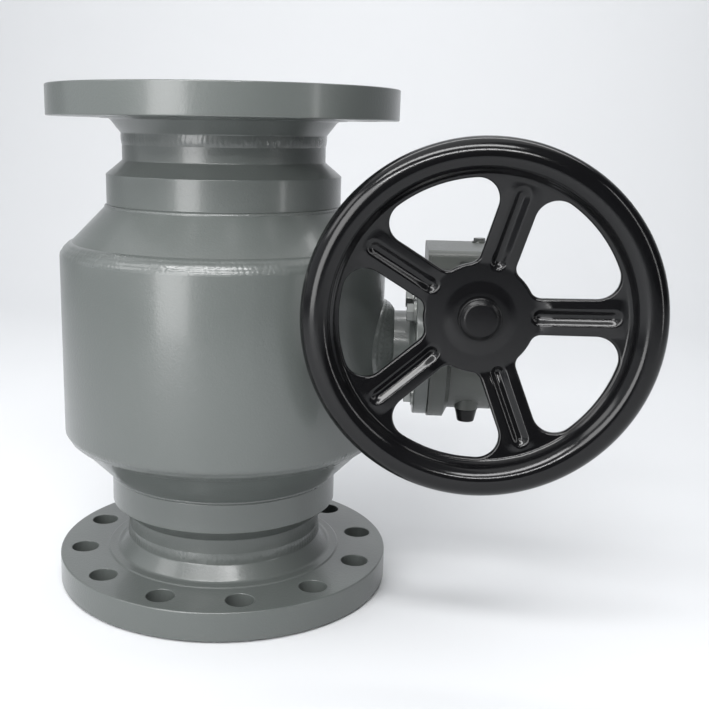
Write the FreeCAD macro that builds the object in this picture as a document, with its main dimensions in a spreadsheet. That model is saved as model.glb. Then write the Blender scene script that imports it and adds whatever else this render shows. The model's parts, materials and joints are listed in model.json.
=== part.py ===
import FreeCAD, Part
import math
import os
import re
from types import SimpleNamespace

import Sketcher

# Flanged, fully welded quarter-turn ball valve with a worm gearbox and handwheel.
# Frame: origin at the centre of the bottom flange face, +Z up the bore,
# +X out along the stem, -Y out along the worm shaft towards the handwheel.
# Units are millimetres and degrees.

V = FreeCAD.Vector
DRIVING_SIZES = {
    # pipeline end
    "face_to_face": 550.0, "flange_radius": 187.5, "flange_depth": 34.0,
    "raised_face_radius": 142.5, "raised_face_step": 2.0,
    "bolt_circle_radius": 160.0, "bolt_hole_radius": 15.0, "bolt_count": 12.0,
    "bore_radius": 100.0, "pipe_radius": 109.55, "hub_foot_radius": 121.0,
    "hub_height": 54.0, "weld_width": 4.0, "weld_crown": 1.6,
    # body
    "neck_height": 78.5, "ring_radius": 127.0, "ring_start": 93.0, "ring_end": 125.0,
    "sleeve_radius": 118.0, "sleeve_end": 166.0, "pocket_radius": 111.0, "pocket_floor": 142.0,
    "cone_radius": 166.0, "cone_end": 165.5, "cone_wall": 8.2,
    "shell_radius": 177.8, "shell_wall": 10.0, "shell_start": 178.5,
    # ball and seats
    "ball_radius": 150.0, "slot_width": 24.0, "slot_floor": 129.0, "ball_flat": 142.0,
    "seat_radius": 110.95, "seat_bore": 101.0, "seat_start": 145.0,
    # stem and neck
    "stem_radius": 19.0, "stem_collar_radius": 29.0, "running_gap": 0.05,
    "neck_radius": 38.0, "neck_bore": 24.0, "neck_start": 153.0, "neck_leg": 12.0,
    "plate_radius": 75.0, "plate_start": 212.0, "plate_end": 228.0,
    "plate_bolt_circle": 62.5, "plate_bolt_radius": 6.0,
    # gearbox
    "base_radius": 77.0, "case_radius": 67.0, "case_step": 250.0, "case_end": 294.0,
    "cavity_radius": 55.0, "cavity_floor": 244.0, "gasket_depth": 1.0, "cover_depth": 9.0,
    "box_top": 111.5, "box_half": 55.0, "box_start": 222.0, "box_corner": 6.0,
    "centre_distance": 61.0, "worm_plane": 268.0, "tunnel_radius": 20.5, "end_cover_radius": 31.0,
    # worm and wheel
    "gear_module": 2.5, "wheel_teeth": 36.0, "wheel_width": 18.0, "wheel_hub_radius": 27.0,
    "bush_radius": 31.0, "worm_pitch_radius": 16.0, "flank_gap": 0.35, "shaft_radius": 12.5,
    # handwheel
    "wheel_radius": 168.0, "wheel_sheet": 4.0, "hub_plane": 158.0, "rim_plane": 176.0,
    "hub_disc_radius": 54.0, "rim_inner_radius": 134.0, "rim_crown": 16.0,
    "spoke_half": 17.5, "window_inner": 60.0, "window_corner": 20.0, "window_root": 9.0,
}
SPOKES = 5
FIRST_SPOKE = 3.0
PRESSURE_ANGLE = 20.0

doc = FreeCAD.newDocument("GearedBallValve")
sheet = doc.addObject("Spreadsheet::Sheet", "Dims")
for row, (alias, number) in enumerate(DRIVING_SIZES.items(), start=1):
    sheet.set(f"A{row}", alias)
    sheet.set(f"B{row}", str(number))
    sheet.setAlias(f"B{row}", alias)
doc.recompute()


class Size:
    """A number together with the spreadsheet expression that gives it."""

    def __init__(self, value, text):
        self.value = value
        self.text = text

    def __add__(self, other):
        other = as_size(other)
        return Size(self.value + other.value, f"({self.text} + {other.text})")

    def __sub__(self, other):
        other = as_size(other)
        return Size(self.value - other.value, f"({self.text} - {other.text})")

    def __mul__(self, other):
        other = as_size(other)
        return Size(self.value * other.value, f"({self.text} * {other.text})")

    def __truediv__(self, other):
        other = as_size(other)
        return Size(self.value / other.value, f"({self.text} / {other.text})")

    def __neg__(self):
        return Size(-self.value, f"(-1 * {self.text})")


def as_size(number):
    return number if isinstance(number, Size) else Size(float(number), f"{float(number):.15f}")


d = SimpleNamespace(**{alias: Size(sheet.get(alias), f"Dims.{alias}") for alias in DRIVING_SIZES})
STEM_HEIGHT = d.face_to_face / 2
WORM_HEIGHT = STEM_HEIGHT + d.centre_distance
nodes = []


def bind(obj, prop, size):
    """Tie a property to the spreadsheet when its size comes from there."""
    size = as_size(size)
    if "Dims." in size.text:
        obj.setExpression(prop, size.text)


def place(obj, frame):
    """Stand a local model (its own axis along Z) in one of the valve's frames."""
    bases = {
        "lower": (0, 0, 0), "upper": (0, 0, d.face_to_face),
        "ball": (0, 0, STEM_HEIGHT), "stem": (0, 0, STEM_HEIGHT),
        "worm": (d.worm_plane, 0, WORM_HEIGHT),
    }
    turns = {
        "lower": FreeCAD.Rotation(), "ball": FreeCAD.Rotation(),
        "upper": FreeCAD.Rotation(V(1, 0, 0), 180),
        "stem": FreeCAD.Rotation(V(0, 1, 0), 90), "worm": FreeCAD.Rotation(V(1, 0, 0), 90),
    }
    base = [as_size(value) for value in bases[frame]]
    obj.Placement = FreeCAD.Placement(V(*[size.value for size in base]), turns[frame])
    for axis, size in zip("xyz", base):
        bind(obj, f"Placement.Base.{axis}", size)


def new_body(label, frame):
    body = doc.addObject("PartDesign::Body", label)
    body.Label = label
    place(body, frame)
    nodes.append(body)
    return body


def sketch_on(body, role, offset=0):
    """A sketch on one of the body's own origin planes, lifted by offset."""
    sketch = body.newObject("Sketcher::SketchObject", "Sketch")
    plane = next(item for item in body.Origin.OriginFeatures if item.Role == role)
    sketch.AttachmentSupport = [(plane, "")]
    sketch.MapMode = "FlatFace"
    offset = as_size(offset)
    sketch.AttachmentOffset = FreeCAD.Placement(V(0, 0, offset.value), FreeCAD.Rotation())
    bind(sketch, "AttachmentOffset.Base.z", offset)
    return sketch


def pin_point(sketch, geometry, end, x, y):
    """Fix one end of a sketch edge at (x, y), each a Size."""
    for kind, size, axis in (("DistanceX", x, -2), ("DistanceY", y, -1)):
        if abs(size.value) < 1e-9:
            sketch.addConstraint(Sketcher.Constraint("PointOnObject", geometry, end, axis))
            continue
        number = sketch.addConstraint(
            Sketcher.Constraint(kind, -1, 1, geometry, end, size.value))
        bind(sketch, f"Constraints[{number}]", size)


def draw_outline(sketch, points):
    """A closed outline of straight edges through points given as (x, y) sizes."""
    points = [(as_size(x), as_size(y)) for x, y in points]
    count = len(points)
    for index, (x, y) in enumerate(points):
        nx, ny = points[(index + 1) % count]
        line = Part.LineSegment(V(x.value, y.value, 0), V(nx.value, ny.value, 0))
        sketch.addGeometry(line, False)
    for index in range(count):
        nxt = (index + 1) % count
        sketch.addConstraint(Sketcher.Constraint("Coincident", index, 2, nxt, 1))
    for index, (x, y) in enumerate(points):
        pin_point(sketch, index, 1, x, y)


def draw_circle(sketch, x, y, radius):
    x, y, radius = as_size(x), as_size(y), as_size(radius)
    centre = V(x.value, y.value, 0)
    number = sketch.addGeometry(Part.Circle(centre, V(0, 0, 1), radius.value), False)
    ring = sketch.addConstraint(Sketcher.Constraint("Radius", number, radius.value))
    bind(sketch, f"Constraints[{ring}]", radius)
    pin_point(sketch, number, 3, x, y)


def revolve(body, points, kind="Revolution"):
    """Turn an (r, z) outline about the body's Z axis."""
    sketch = sketch_on(body, "XZ_Plane")
    draw_outline(sketch, points)
    turned = body.newObject(f"PartDesign::{kind}", kind)
    turned.Profile = sketch
    turned.ReferenceAxis = (sketch, ["V_Axis"])
    turned.Angle = 360
    sketch.Visibility = False
    doc.recompute()
    return turned


def pad(body, role, draw, start, end):
    """Add material between two heights over the given plane."""
    sketch = sketch_on(body, role, start)
    draw(sketch)
    solid = body.newObject("PartDesign::Pad", "Pad")
    solid.Profile = sketch
    solid.Length = (as_size(end) - start).value
    bind(solid, "Length", as_size(end) - start)
    doc.recompute()
    return solid


def pocket(body, role, draw, start, end):
    """Remove material between two heights over the given plane."""
    sketch = sketch_on(body, role, end)
    draw(sketch)
    cut = body.newObject("PartDesign::Pocket", "Pocket")
    cut.Profile = sketch
    cut.Length = (as_size(end) - start).value
    bind(cut, "Length", as_size(end) - start)
    before = cut.BaseFeature.Shape.Volume if cut.BaseFeature else body.Tip.Shape.Volume
    doc.recompute()
    if not cut.Shape.Volume < before - 1e-3:
        raise RuntimeError(f"{body.Label}: a pocket removed nothing")
    return cut


def polar(body, feature, count, sketch=None):
    """Repeat a feature around the body's Z axis."""
    pattern = body.newObject("PartDesign::PolarPattern", "PolarPattern")
    pattern.Originals = [feature]
    pattern.Axis = ((sketch or feature.Profile[0]), ["N_Axis"])
    pattern.Angle = 360
    pattern.Occurrences = int(as_size(count).value)
    bind(pattern, "Occurrences", count)
    body.Tip = pattern
    doc.recompute()
    return pattern


def round_edges(body, radius, wanted, kind="Fillet"):
    """Fillet or chamfer the edges of the tip for which wanted(edge) holds."""
    tip = body.Tip
    names = [f"Edge{n}" for n, edge in enumerate(tip.Shape.Edges, start=1) if wanted(edge)]
    if not names:
        raise RuntimeError(f"{body.Label}: no edge to round")
    rounding = body.newObject(f"PartDesign::{kind}", kind)
    rounding.Base = (tip, names)
    prop = "Radius" if kind == "Fillet" else "Size"
    setattr(rounding, prop, as_size(radius).value)
    bind(rounding, prop, radius)
    doc.recompute()
    return rounding


def ring_edge(*places):
    """A test for full circles about the body's Z axis at any of the (radius, z) places."""
    def wanted(edge):
        curve = edge.Curve
        if not isinstance(curve, Part.Circle) or math.hypot(curve.Center.x, curve.Center.y) > 0.01:
            return False
        return any(abs(curve.Radius - as_size(r).value) < 0.01
                   and abs(curve.Center.z - as_size(z).value) < 0.01 for r, z in places)
    return wanted


def turned_part(label, frame, points):
    body = new_body(label, frame)
    revolve(body, points)
    return body


def ring(label, frame, inner, outer, start, end):
    return turned_part(label, frame, [(inner, start), (outer, start), (outer, end), (inner, end)])


def primitive(kind, placement, **sizes):
    """A Part workbench solid with spreadsheet-bound sizes."""
    solid = doc.addObject(f"Part::{kind}", kind)
    for prop, size in sizes.items():
        setattr(solid, prop, as_size(size).value if prop != "Polygon" else size)
        if prop != "Polygon":
            bind(solid, prop, size)
    solid.Placement = placement
    return solid


def at(x=0, y=0, z=0, axis=V(0, 0, 1), angle=0):
    values = [as_size(value).value for value in (x, y, z)]
    return FreeCAD.Placement(V(*values), FreeCAD.Rotation(axis, angle))


def fused(label, solids):
    union = doc.addObject("Part::MultiFuse", label)
    union.Shapes = solids
    return union


def cut_node(label, frame, base, tools):
    tool = tools[0] if len(tools) == 1 else fused(f"{label}_tools", tools)
    result = doc.addObject("Part::Cut", label)
    result.Label = label
    result.Base = base
    result.Tool = tool
    place(result, frame)
    nodes.append(result)
    return result


def group_node(label, frame, solids):
    """Identical loose pieces that share one node."""
    group = doc.addObject("Part::Compound", label)
    group.Label = label
    group.Links = solids
    place(group, frame)
    nodes.append(group)
    return group


def hex_bolt(x, y, seat, tip, shank, head_radius, head_height):
    """A bolt along Z: its head stands on the seat height, away from its tip."""
    down = tip < seat
    head = primitive("Prism", at(x, y, seat if down else seat - head_height, angle=15),
                     Polygon=6, Circumradius=head_radius, Height=head_height)
    body = primitive("Cylinder", at(x, y, min(seat, tip)), Radius=shank, Height=abs(seat - tip))
    return fused("Bolt", [head, body])


def around(radius, angles):
    radius = as_size(radius).value
    return [(radius * math.cos(math.radians(a)), radius * math.sin(math.radians(a))) for a in angles]


# ---------------------------------------------------------------- pressure body
def build_end(frame):
    """One pipeline end: flange, hub weld, end tube, cone, girth weld and seat pieces."""
    hub_end = d.hub_height
    tube_start = d.hub_height + d.weld_width

    flange = turned_part(f"{frame}_flange", frame, [
        (d.bore_radius, 0), (d.raised_face_radius, 0), (d.raised_face_radius, d.raised_face_step),
        (d.flange_radius, d.raised_face_step), (d.flange_radius, d.flange_depth),
        (d.hub_foot_radius, d.flange_depth), (d.pipe_radius, hub_end), (d.bore_radius, hub_end)])
    round_edges(flange, 10, ring_edge((d.hub_foot_radius, d.flange_depth)))
    round_edges(flange, 1.2, ring_edge((d.flange_radius, d.raised_face_step),
                                       (d.flange_radius, d.flange_depth),
                                       (d.raised_face_radius, 0)), "Chamfer")
    first = math.radians(180.0 / DRIVING_SIZES["bolt_count"])
    hole = pocket(flange, "XY_Plane",
                  lambda s: draw_circle(s, d.bolt_circle_radius * math.cos(first),
                                        d.bolt_circle_radius * math.sin(first),
                                        d.bolt_hole_radius),
                  -1, d.flange_depth + 1)
    polar(flange, hole, d.bolt_count)

    bead = d.pipe_radius + d.weld_crown
    turned_part(f"{frame}_hub_weld", frame, [
        (d.bore_radius, hub_end), (d.pipe_radius, hub_end), (bead, hub_end + d.weld_width * 0.3),
        (bead, hub_end + d.weld_width * 0.7), (d.pipe_radius, tube_start),
        (d.bore_radius, tube_start)])

    tube = turned_part(f"{frame}_end_tube", frame, [
        (d.bore_radius, tube_start), (d.pipe_radius, tube_start), (d.pipe_radius, d.neck_height),
        (d.ring_radius, d.ring_start), (d.ring_radius, d.ring_end), (d.sleeve_radius, d.ring_end),
        (d.sleeve_radius, d.sleeve_end), (d.pocket_radius, d.sleeve_end),
        (d.pocket_radius, d.pocket_floor), (d.bore_radius, d.pocket_floor)])
    round_edges(tube, 1.5, ring_edge((d.ring_radius, d.ring_start), (d.ring_radius, d.ring_end)))

    foot = d.ring_radius - 1
    turned_part(f"{frame}_cone", frame, [
        (d.sleeve_radius + 0.2, d.ring_end), (foot, d.ring_end), (d.cone_radius, d.cone_end),
        (d.cone_radius - d.cone_wall, d.cone_end)])

    run = d.shell_start - d.cone_end
    rise = d.shell_radius - d.cone_radius
    turned_part(f"{frame}_girth_weld", frame, [
        (d.cone_radius - d.cone_wall, d.cone_end), (d.cone_radius, d.cone_end),
        (d.cone_radius + rise * 0.34, d.cone_end + run * 0.2),
        (d.cone_radius + rise * 0.64, d.cone_end + run * 0.45),
        (d.cone_radius + rise * 0.88, d.cone_end + run * 0.75),
        (d.shell_radius, d.shell_start), (d.shell_radius - d.shell_wall, d.shell_start)])

    build_seat(frame)


def above_ball(radius, gap):
    """Height at a radius that stays a gap clear of the ball's surface."""
    reach = DRIVING_SIZES["ball_radius"] + gap
    return STEM_HEIGHT - math.sqrt(reach ** 2 - radius ** 2)


def build_seat(frame):
    """Seat ring with its soft insert, o-ring and back-up spring, in the end tube's pocket."""
    inner, outer = 104.6, 109.6
    floor = above_ball(inner, 0.5) - 3
    groove = d.seat_start + 7
    wall = DRIVING_SIZES["seat_radius"]
    bore = DRIVING_SIZES["seat_bore"]
    turned_part(f"{frame}_seat_ring", frame, [
        (d.seat_bore, d.seat_start), (d.seat_radius, d.seat_start), (d.seat_radius, groove),
        (d.seat_radius - 4, groove), (d.seat_radius - 4, groove + 5), (d.seat_radius, groove + 5),
        (d.seat_radius, above_ball(wall, 0.6)), (outer, above_ball(outer, 0.6)), (outer, floor),
        (inner, floor), (inner, above_ball(inner, 0.6)), (d.seat_bore, above_ball(bore, 0.6))])
    turned_part(f"{frame}_seat_insert", frame, [
        (inner, floor), (outer, floor), (outer, above_ball(outer, 0.1)),
        (inner, above_ball(inner, 0.1))])
    ring(f"{frame}_seat_o_ring", frame, d.seat_radius - 4, d.seat_radius, groove, groove + 5)
    turned_part(f"{frame}_seat_spring", frame, [
        (d.seat_bore + 1, d.pocket_floor), (d.seat_bore + 2.5, d.pocket_floor),
        (d.seat_radius - 1, d.seat_start), (d.seat_radius - 2.5, d.seat_start)])


build_end("lower")
build_end("upper")

shell = ring("body_shell", "lower", d.shell_radius - d.shell_wall, d.shell_radius,
             d.shell_start, d.face_to_face - d.shell_start)
pocket(shell, "YZ_Plane", lambda s: draw_circle(s, 0, STEM_HEIGHT, d.neck_radius), 100, 200)

# ---------------------------------------------------------------- ball and stem
ball = primitive("Sphere", at(), Radius=d.ball_radius)
ball_bore = primitive("Cylinder", at(z=-160), Radius=d.bore_radius, Height=320)
reach = 40.0
slot = primitive("Box", at(d.slot_floor, -100, -d.slot_width / 2), Length=reach, Width=200,
                 Height=d.slot_width)
flat = primitive("Box", at(d.ball_flat, -100, -100), Length=reach, Width=200, Height=200)
bind(slot, "Placement.Base.x", d.slot_floor)
bind(slot, "Placement.Base.z", -d.slot_width / 2)
bind(flat, "Placement.Base.x", d.ball_flat)
cut_node("ball", "ball", ball, [ball_bore, slot, flat])

stem = turned_part("stem", "stem", [
    (0, d.ball_flat + 0.6), (d.stem_collar_radius, d.ball_flat + 0.6),
    (d.stem_collar_radius, d.neck_start - 2), (d.stem_radius, d.neck_start - 2),
    (d.stem_radius, d.case_end + 4), (0, d.case_end + 4)])
tongue = d.slot_width / 2 - 0.1
pad(stem, "XY_Plane", lambda s: draw_outline(s, [
    (-tongue, -28), (tongue, -28), (tongue, 28), (-tongue, 28)]),
    d.slot_floor + 0.4, d.ball_flat + 1)
key_half, key_floor, key_top = 5.0, 15.0, 22.2
key_start, key_end = 248.0, 292.0
pocket(stem, "XY_Plane", lambda s: draw_outline(s, [
    (-key_half, key_floor), (key_half, key_floor), (key_half, 25), (-key_half, 25)]),
    key_start, key_end)

ring("stem_thrust_washer", "stem", d.stem_radius + d.running_gap, d.stem_collar_radius,
     d.neck_start - 1.95, d.neck_start)
ring("stem_bush", "stem", d.stem_radius + d.running_gap, d.neck_bore, d.neck_start,
     d.neck_start + 22)
rings = []
for index in range(4):
    outer = primitive("Cylinder", at(z=d.neck_start + 22.5 + 4.6 * index), Radius=d.neck_bore, Height=4.4)
    inner = primitive("Cylinder", at(z=d.neck_start + 22.4 + 4.6 * index),
                      Radius=d.stem_radius + d.running_gap, Height=4.6)
    packing = doc.addObject("Part::Cut", "Packing")
    packing.Base = outer
    packing.Tool = inner
    rings.append(packing)
group_node("stem_packing", "stem", rings)
ring("packing_gland", "stem", d.stem_radius + d.running_gap, d.neck_bore,
     d.neck_start + 41.5, d.plate_end - 0.5)

ring("stem_neck", "stem", d.neck_bore, d.neck_radius, d.neck_start, d.plate_start)

taper = d.neck_radius + d.neck_leg * 2.3
weld_cone = primitive("Cone", at(0, 0, d.plate_start - 50), Radius1=taper,
                      Radius2=d.neck_radius, Height=d.neck_leg * 2.3)
weld_core = primitive("Cylinder", at(0, 0, 150), Radius=d.neck_radius, Height=60)
weld_shell = primitive("Cylinder", at(200, 0, 0, V(0, 1, 0), -90), Radius=d.shell_radius, Height=400)
cut_node("neck_shell_weld", "stem", weld_cone, [weld_core, weld_shell])
turned_part("neck_plate_weld", "stem", [
    (d.neck_radius, d.plate_start - 6), (d.neck_radius + 6, d.plate_start),
    (d.neck_radius, d.plate_start)])

plate = ring("mounting_plate", "stem", d.neck_bore, d.plate_radius, d.plate_start, d.plate_end)
round_edges(plate, 1, ring_edge((d.plate_radius, d.plate_start), (d.plate_radius, d.plate_end)),
            "Chamfer")
diagonal = d.plate_bolt_circle * math.cos(math.radians(45))
plate_hole = pocket(plate, "XY_Plane",
                    lambda s: draw_circle(s, diagonal, diagonal, d.plate_bolt_radius + 0.75),
                    d.plate_start - 1, d.plate_end + 1)
polar(plate, plate_hole, 4)

corners = around(d.plate_bolt_circle, (45, 135, 225, 315))
plate_face = DRIVING_SIZES["plate_start"]
group_node("plate_bolts", "stem", [
    hex_bolt(x, y, plate_face - 2.5, plate_face + 28, 6.0, 10.4, 7.5) for x, y in corners])
washers = []
for x, y in corners:
    disc = primitive("Cylinder", at(x, y, plate_face - 2.5), Radius=12, Height=2.5)
    eye = primitive("Cylinder", at(x, y, plate_face - 3), Radius=6.4, Height=4)
    washer = doc.addObject("Part::Cut", "Washer")
    washer.Base = disc
    washer.Tool = eye
    washers.append(washer)
group_node("plate_washers", "stem", washers)


# ---------------------------------------------------------------- gearbox
def case_outline(sketch):
    """The worm box as seen along the stem; local -X is up."""
    draw_outline(sketch, [(-d.box_top, -d.box_half), (-10, -d.box_half), (-10, d.box_half),
                          (-d.box_top, d.box_half)])


def box_corner_edge(edge):
    """Upper corners of the worm box, which run along the stem."""
    if len(edge.Vertexes) != 2:
        return False
    a, b = (vertex.Point for vertex in edge.Vertexes)
    on_corner = all(abs(p.x + d.box_top.value) < 0.01 and abs(abs(p.y) - d.box_half.value) < 0.01
                    for p in (a, b))
    return on_corner and abs(a.z - b.z) > 0.5


COVER_BOLTS = around(61.0, (0, 50, -50, 105, -105)) + [(-102.0, 44.0), (-102.0, -44.0)]
END_SCREWS = around(25.5, (45, 135, 225, 315))
STOP_Y, STOP_X, STOP_FLAT, STOP_TIP = 34.0, 270.0, 60.0, 11.5
gear_cover_start = d.case_end + d.gasket_depth
gear_cover_end = gear_cover_start + d.cover_depth

case = turned_part("gearbox_case", "stem", [
    (d.bush_radius, d.plate_end), (d.base_radius, d.plate_end),
    (d.base_radius, d.case_step - 5), (d.case_radius, d.case_step),
    (d.case_radius, d.case_end), (d.bush_radius, d.case_end)])
pad(case, "XY_Plane", case_outline, d.plate_end, d.case_end)
pad(case, "XY_Plane", lambda s: draw_outline(s, [
    (-d.box_top, -d.box_half), (-80, -d.box_half), (-80, d.box_half), (-d.box_top, d.box_half)]),
    d.box_start, d.plate_end)
for side in (-1, 1):
    pad(case, "YZ_Plane", lambda s: draw_circle(s, side * STOP_Y, STOP_X, 12.5), 40, STOP_FLAT)
round_edges(case, d.box_corner, box_corner_edge)
pocket(case, "XY_Plane", lambda s: draw_circle(s, 0, 0, d.bush_radius),
       d.plate_end, d.cavity_floor + 1)
pocket(case, "XY_Plane", lambda s: draw_circle(s, 0, 0, d.cavity_radius),
       d.cavity_floor, d.case_end)
pocket(case, "XZ_Plane",
       lambda s: draw_circle(s, -d.centre_distance, d.worm_plane, d.tunnel_radius),
       -d.box_half - 1, d.box_half + 1)
for side in (-1, 1):
    pocket(case, "YZ_Plane", lambda s: draw_circle(s, side * STOP_Y, STOP_X, 5.0), 30, STOP_FLAT + 1)
    pocket(case, "YZ_Plane", lambda s: draw_circle(s, side * STOP_Y, STOP_X, 12.8), STOP_FLAT, 80)
for start in (-80, d.box_half):
    pocket(case, "XZ_Plane",
           lambda s: draw_circle(s, -d.centre_distance, d.worm_plane, d.end_cover_radius + 0.5),
           start, as_size(start) + (as_size(80) - d.box_half))
for x, y in COVER_BOLTS:
    pocket(case, "XY_Plane", lambda s: draw_circle(s, x, y, 4.0), d.case_end - 14, d.case_end)
base_hole = pocket(case, "XY_Plane",
                   lambda s: draw_circle(s, diagonal, diagonal, d.plate_bolt_radius),
                   d.plate_end, d.plate_end + 13)
polar(case, base_hole, 4)
for x, y in END_SCREWS:
    for start in (-d.box_half, d.box_half - 12):
        pocket(case, "XZ_Plane", lambda s: draw_circle(s, x - d.centre_distance.value,
                                                       y + d.worm_plane.value, 3.0),
               start, start + 12)


def cover_plate(label, start, end, bore):
    plate = turned_part(label, "stem", [(bore, start), (d.case_radius, start),
                                        (d.case_radius, end), (bore, end)])
    pad(plate, "XY_Plane", case_outline, start, end)
    round_edges(plate, d.box_corner, box_corner_edge)
    pocket(plate, "XY_Plane", lambda s: draw_circle(s, 0, 0, bore), start - 1, end + 1)
    for x, y in COVER_BOLTS:
        pocket(plate, "XY_Plane", lambda s: draw_circle(s, x, y, 4.3), start - 1, end + 1)
    return plate


cover_plate("cover_gasket", d.case_end, gear_cover_start, d.cavity_radius)
gear_cover = cover_plate("gearbox_cover", gear_cover_start, gear_cover_end, d.bush_radius)
cover_face = gear_cover_end.value
group_node("cover_bolts", "stem", [
    hex_bolt(x, y, cover_face, cover_face - 22, 4.0, 7.5, 5.3) for x, y in COVER_BOLTS])

ring("lower_hub_bush", "stem", d.wheel_hub_radius + d.running_gap, d.bush_radius,
     d.plate_end, d.cavity_floor)
ring("upper_hub_bush", "stem", d.wheel_hub_radius + d.running_gap, d.bush_radius,
     gear_cover_start, gear_cover_end)

stop_screws, stop_nuts, stop_caps = [], [], []
for side in (-1, 1):
    screw_at = at(STOP_TIP, side * STOP_Y, STOP_X, V(0, 1, 0), 90)
    stop_screws.append(primitive("Cylinder", screw_at, Radius=4.95, Height=STOP_FLAT + 9 - STOP_TIP))
    nut_at = at(STOP_FLAT, side * STOP_Y, STOP_X, V(0, 1, 0), 90)
    nut = primitive("Prism", nut_at, Polygon=6, Circumradius=9.2, Height=7)
    thread = primitive("Cylinder", nut_at, Radius=5.0, Height=7)
    lock_nut = doc.addObject("Part::Cut", "LockNut")
    lock_nut.Base = nut
    lock_nut.Tool = thread
    stop_nuts.append(lock_nut)
    outside = primitive("Cone", nut_at, Radius1=12.0, Radius2=9.0, Height=14)
    inside = primitive("Cone", nut_at, Radius1=10.4, Radius2=8.6, Height=11)
    cap = doc.addObject("Part::Cut", "Cap")
    cap.Base = outside
    cap.Tool = inside
    stop_caps.append(cap)
group_node("stop_screws", "stem", stop_screws)
group_node("stop_nuts", "stem", stop_nuts)
group_node("stop_caps", "stem", stop_caps)

plug_seat = DRIVING_SIZES["box_top"]
plug_head = primitive("Prism", at(-plug_seat, 38, 281, V(0, 1, 0), -90), Polygon=6,
                      Circumradius=6.4, Height=5)
plug_shank = primitive("Cylinder", at(-plug_seat, 38, 281, V(0, 1, 0), -90), Radius=8, Height=1.5)
plug = fused("grease_plug", [plug_head, plug_shank])
plug.Label = "grease_plug"
place(plug, "stem")
nodes.append(plug)

# ---------------------------------------------------------------- worm wheel
pitch = d.gear_module * math.pi
wheel_pitch_radius = d.gear_module * d.wheel_teeth / 2
wheel_tip = wheel_pitch_radius + d.gear_module * 0.85
wheel_root = wheel_pitch_radius - d.gear_module * 1.3
wheel_start = d.worm_plane - d.wheel_width / 2
wheel_end = d.worm_plane + d.wheel_width / 2
SECTOR = (-15.0, 105.0)

worm_wheel = new_body("worm_wheel", "stem")
rim_points = []
steps = 12
for index in range(steps + 1):
    turn = math.radians(SECTOR[0] + (SECTOR[1] - SECTOR[0]) * index / steps)
    rim_points.append((wheel_tip * -math.cos(turn), wheel_tip * math.sin(turn)))
pad(worm_wheel, "XY_Plane", lambda s: draw_circle(s, 0, 0, d.wheel_hub_radius),
    d.plate_end + 1, gear_cover_end + 1)
pad(worm_wheel, "XY_Plane", lambda s: draw_outline(s, [(0, 0)] + rim_points), wheel_start, wheel_end)
tilt = math.atan(pitch.value / (2 * math.pi * d.worm_pitch_radius.value))
flank = math.tan(math.radians(PRESSURE_ANGLE))
gap_half = pitch / 4 + d.flank_gap / 2
gap_outer = gap_half + (wheel_tip + 1 - wheel_pitch_radius) * flank
gap_inner = gap_half - (wheel_pitch_radius - wheel_root) * flank
gap_sketch = sketch_on(worm_wheel, "XY_Plane", d.worm_plane)
draw_outline(gap_sketch, [(-(wheel_tip + 1), -gap_outer), (-wheel_root, -gap_inner),
                          (-wheel_root, gap_inner), (-(wheel_tip + 1), gap_outer)])
gap = worm_wheel.newObject("PartDesign::Pocket", "ToothGap")
gap.Profile = gap_sketch
gap.SideType = "Symmetric"
gap.Length = (d.wheel_width * 1.2).value
bind(gap, "Length", d.wheel_width * 1.2)
gap.UseCustomVector = True
gap.Direction = V(0, -math.tan(tilt), 1)
doc.recompute()
gaps = worm_wheel.newObject("PartDesign::PolarPattern", "ToothGaps")
gaps.Originals = [gap]
gaps.Axis = (gap_sketch, ["N_Axis"])
gaps.Angle = 360
gaps.Occurrences = int(DRIVING_SIZES["wheel_teeth"])
bind(gaps, "Occurrences", d.wheel_teeth)
worm_wheel.Tip = gaps
doc.recompute()
pocket(worm_wheel, "XY_Plane", lambda s: draw_circle(s, 0, 0, d.stem_radius + 0.02),
       d.plate_end, gear_cover_end + 2)
pocket(worm_wheel, "XY_Plane", lambda s: draw_outline(s, [
    (-key_half, 10), (key_half, 10), (key_half, key_top), (-key_half, key_top)]),
    d.plate_end, gear_cover_end + 2)

stem_key = new_body("stem_key", "stem")
pad(stem_key, "XY_Plane", lambda s: draw_outline(s, [
    (-key_half, key_floor), (key_half, key_floor), (key_half, key_top), (-key_half, key_top)]),
    key_start, key_end)

# Position indicator: a pointer disc on the end of the wheel hub.
disc_start = gear_cover_end + 1
pointer = turned_part("indicator_disc", "stem", [
    (0, disc_start), (33, disc_start), (33, disc_start + 3), (31, disc_start + 5), (0, disc_start + 5)])
pad(pointer, "XY_Plane", lambda s: draw_outline(s, [(-44, -2.5), (-20, -5), (-20, 5), (-44, 2.5)]),
    disc_start, disc_start + 3)
screw_seat = (disc_start + 5).value
group_node("indicator_screws", "stem", [
    primitive("Cylinder", at(x, y, screw_seat), Radius=4.0, Height=2.5)
    for x, y in ((0.0, 20.0), (0.0, -20.0))])

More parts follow.
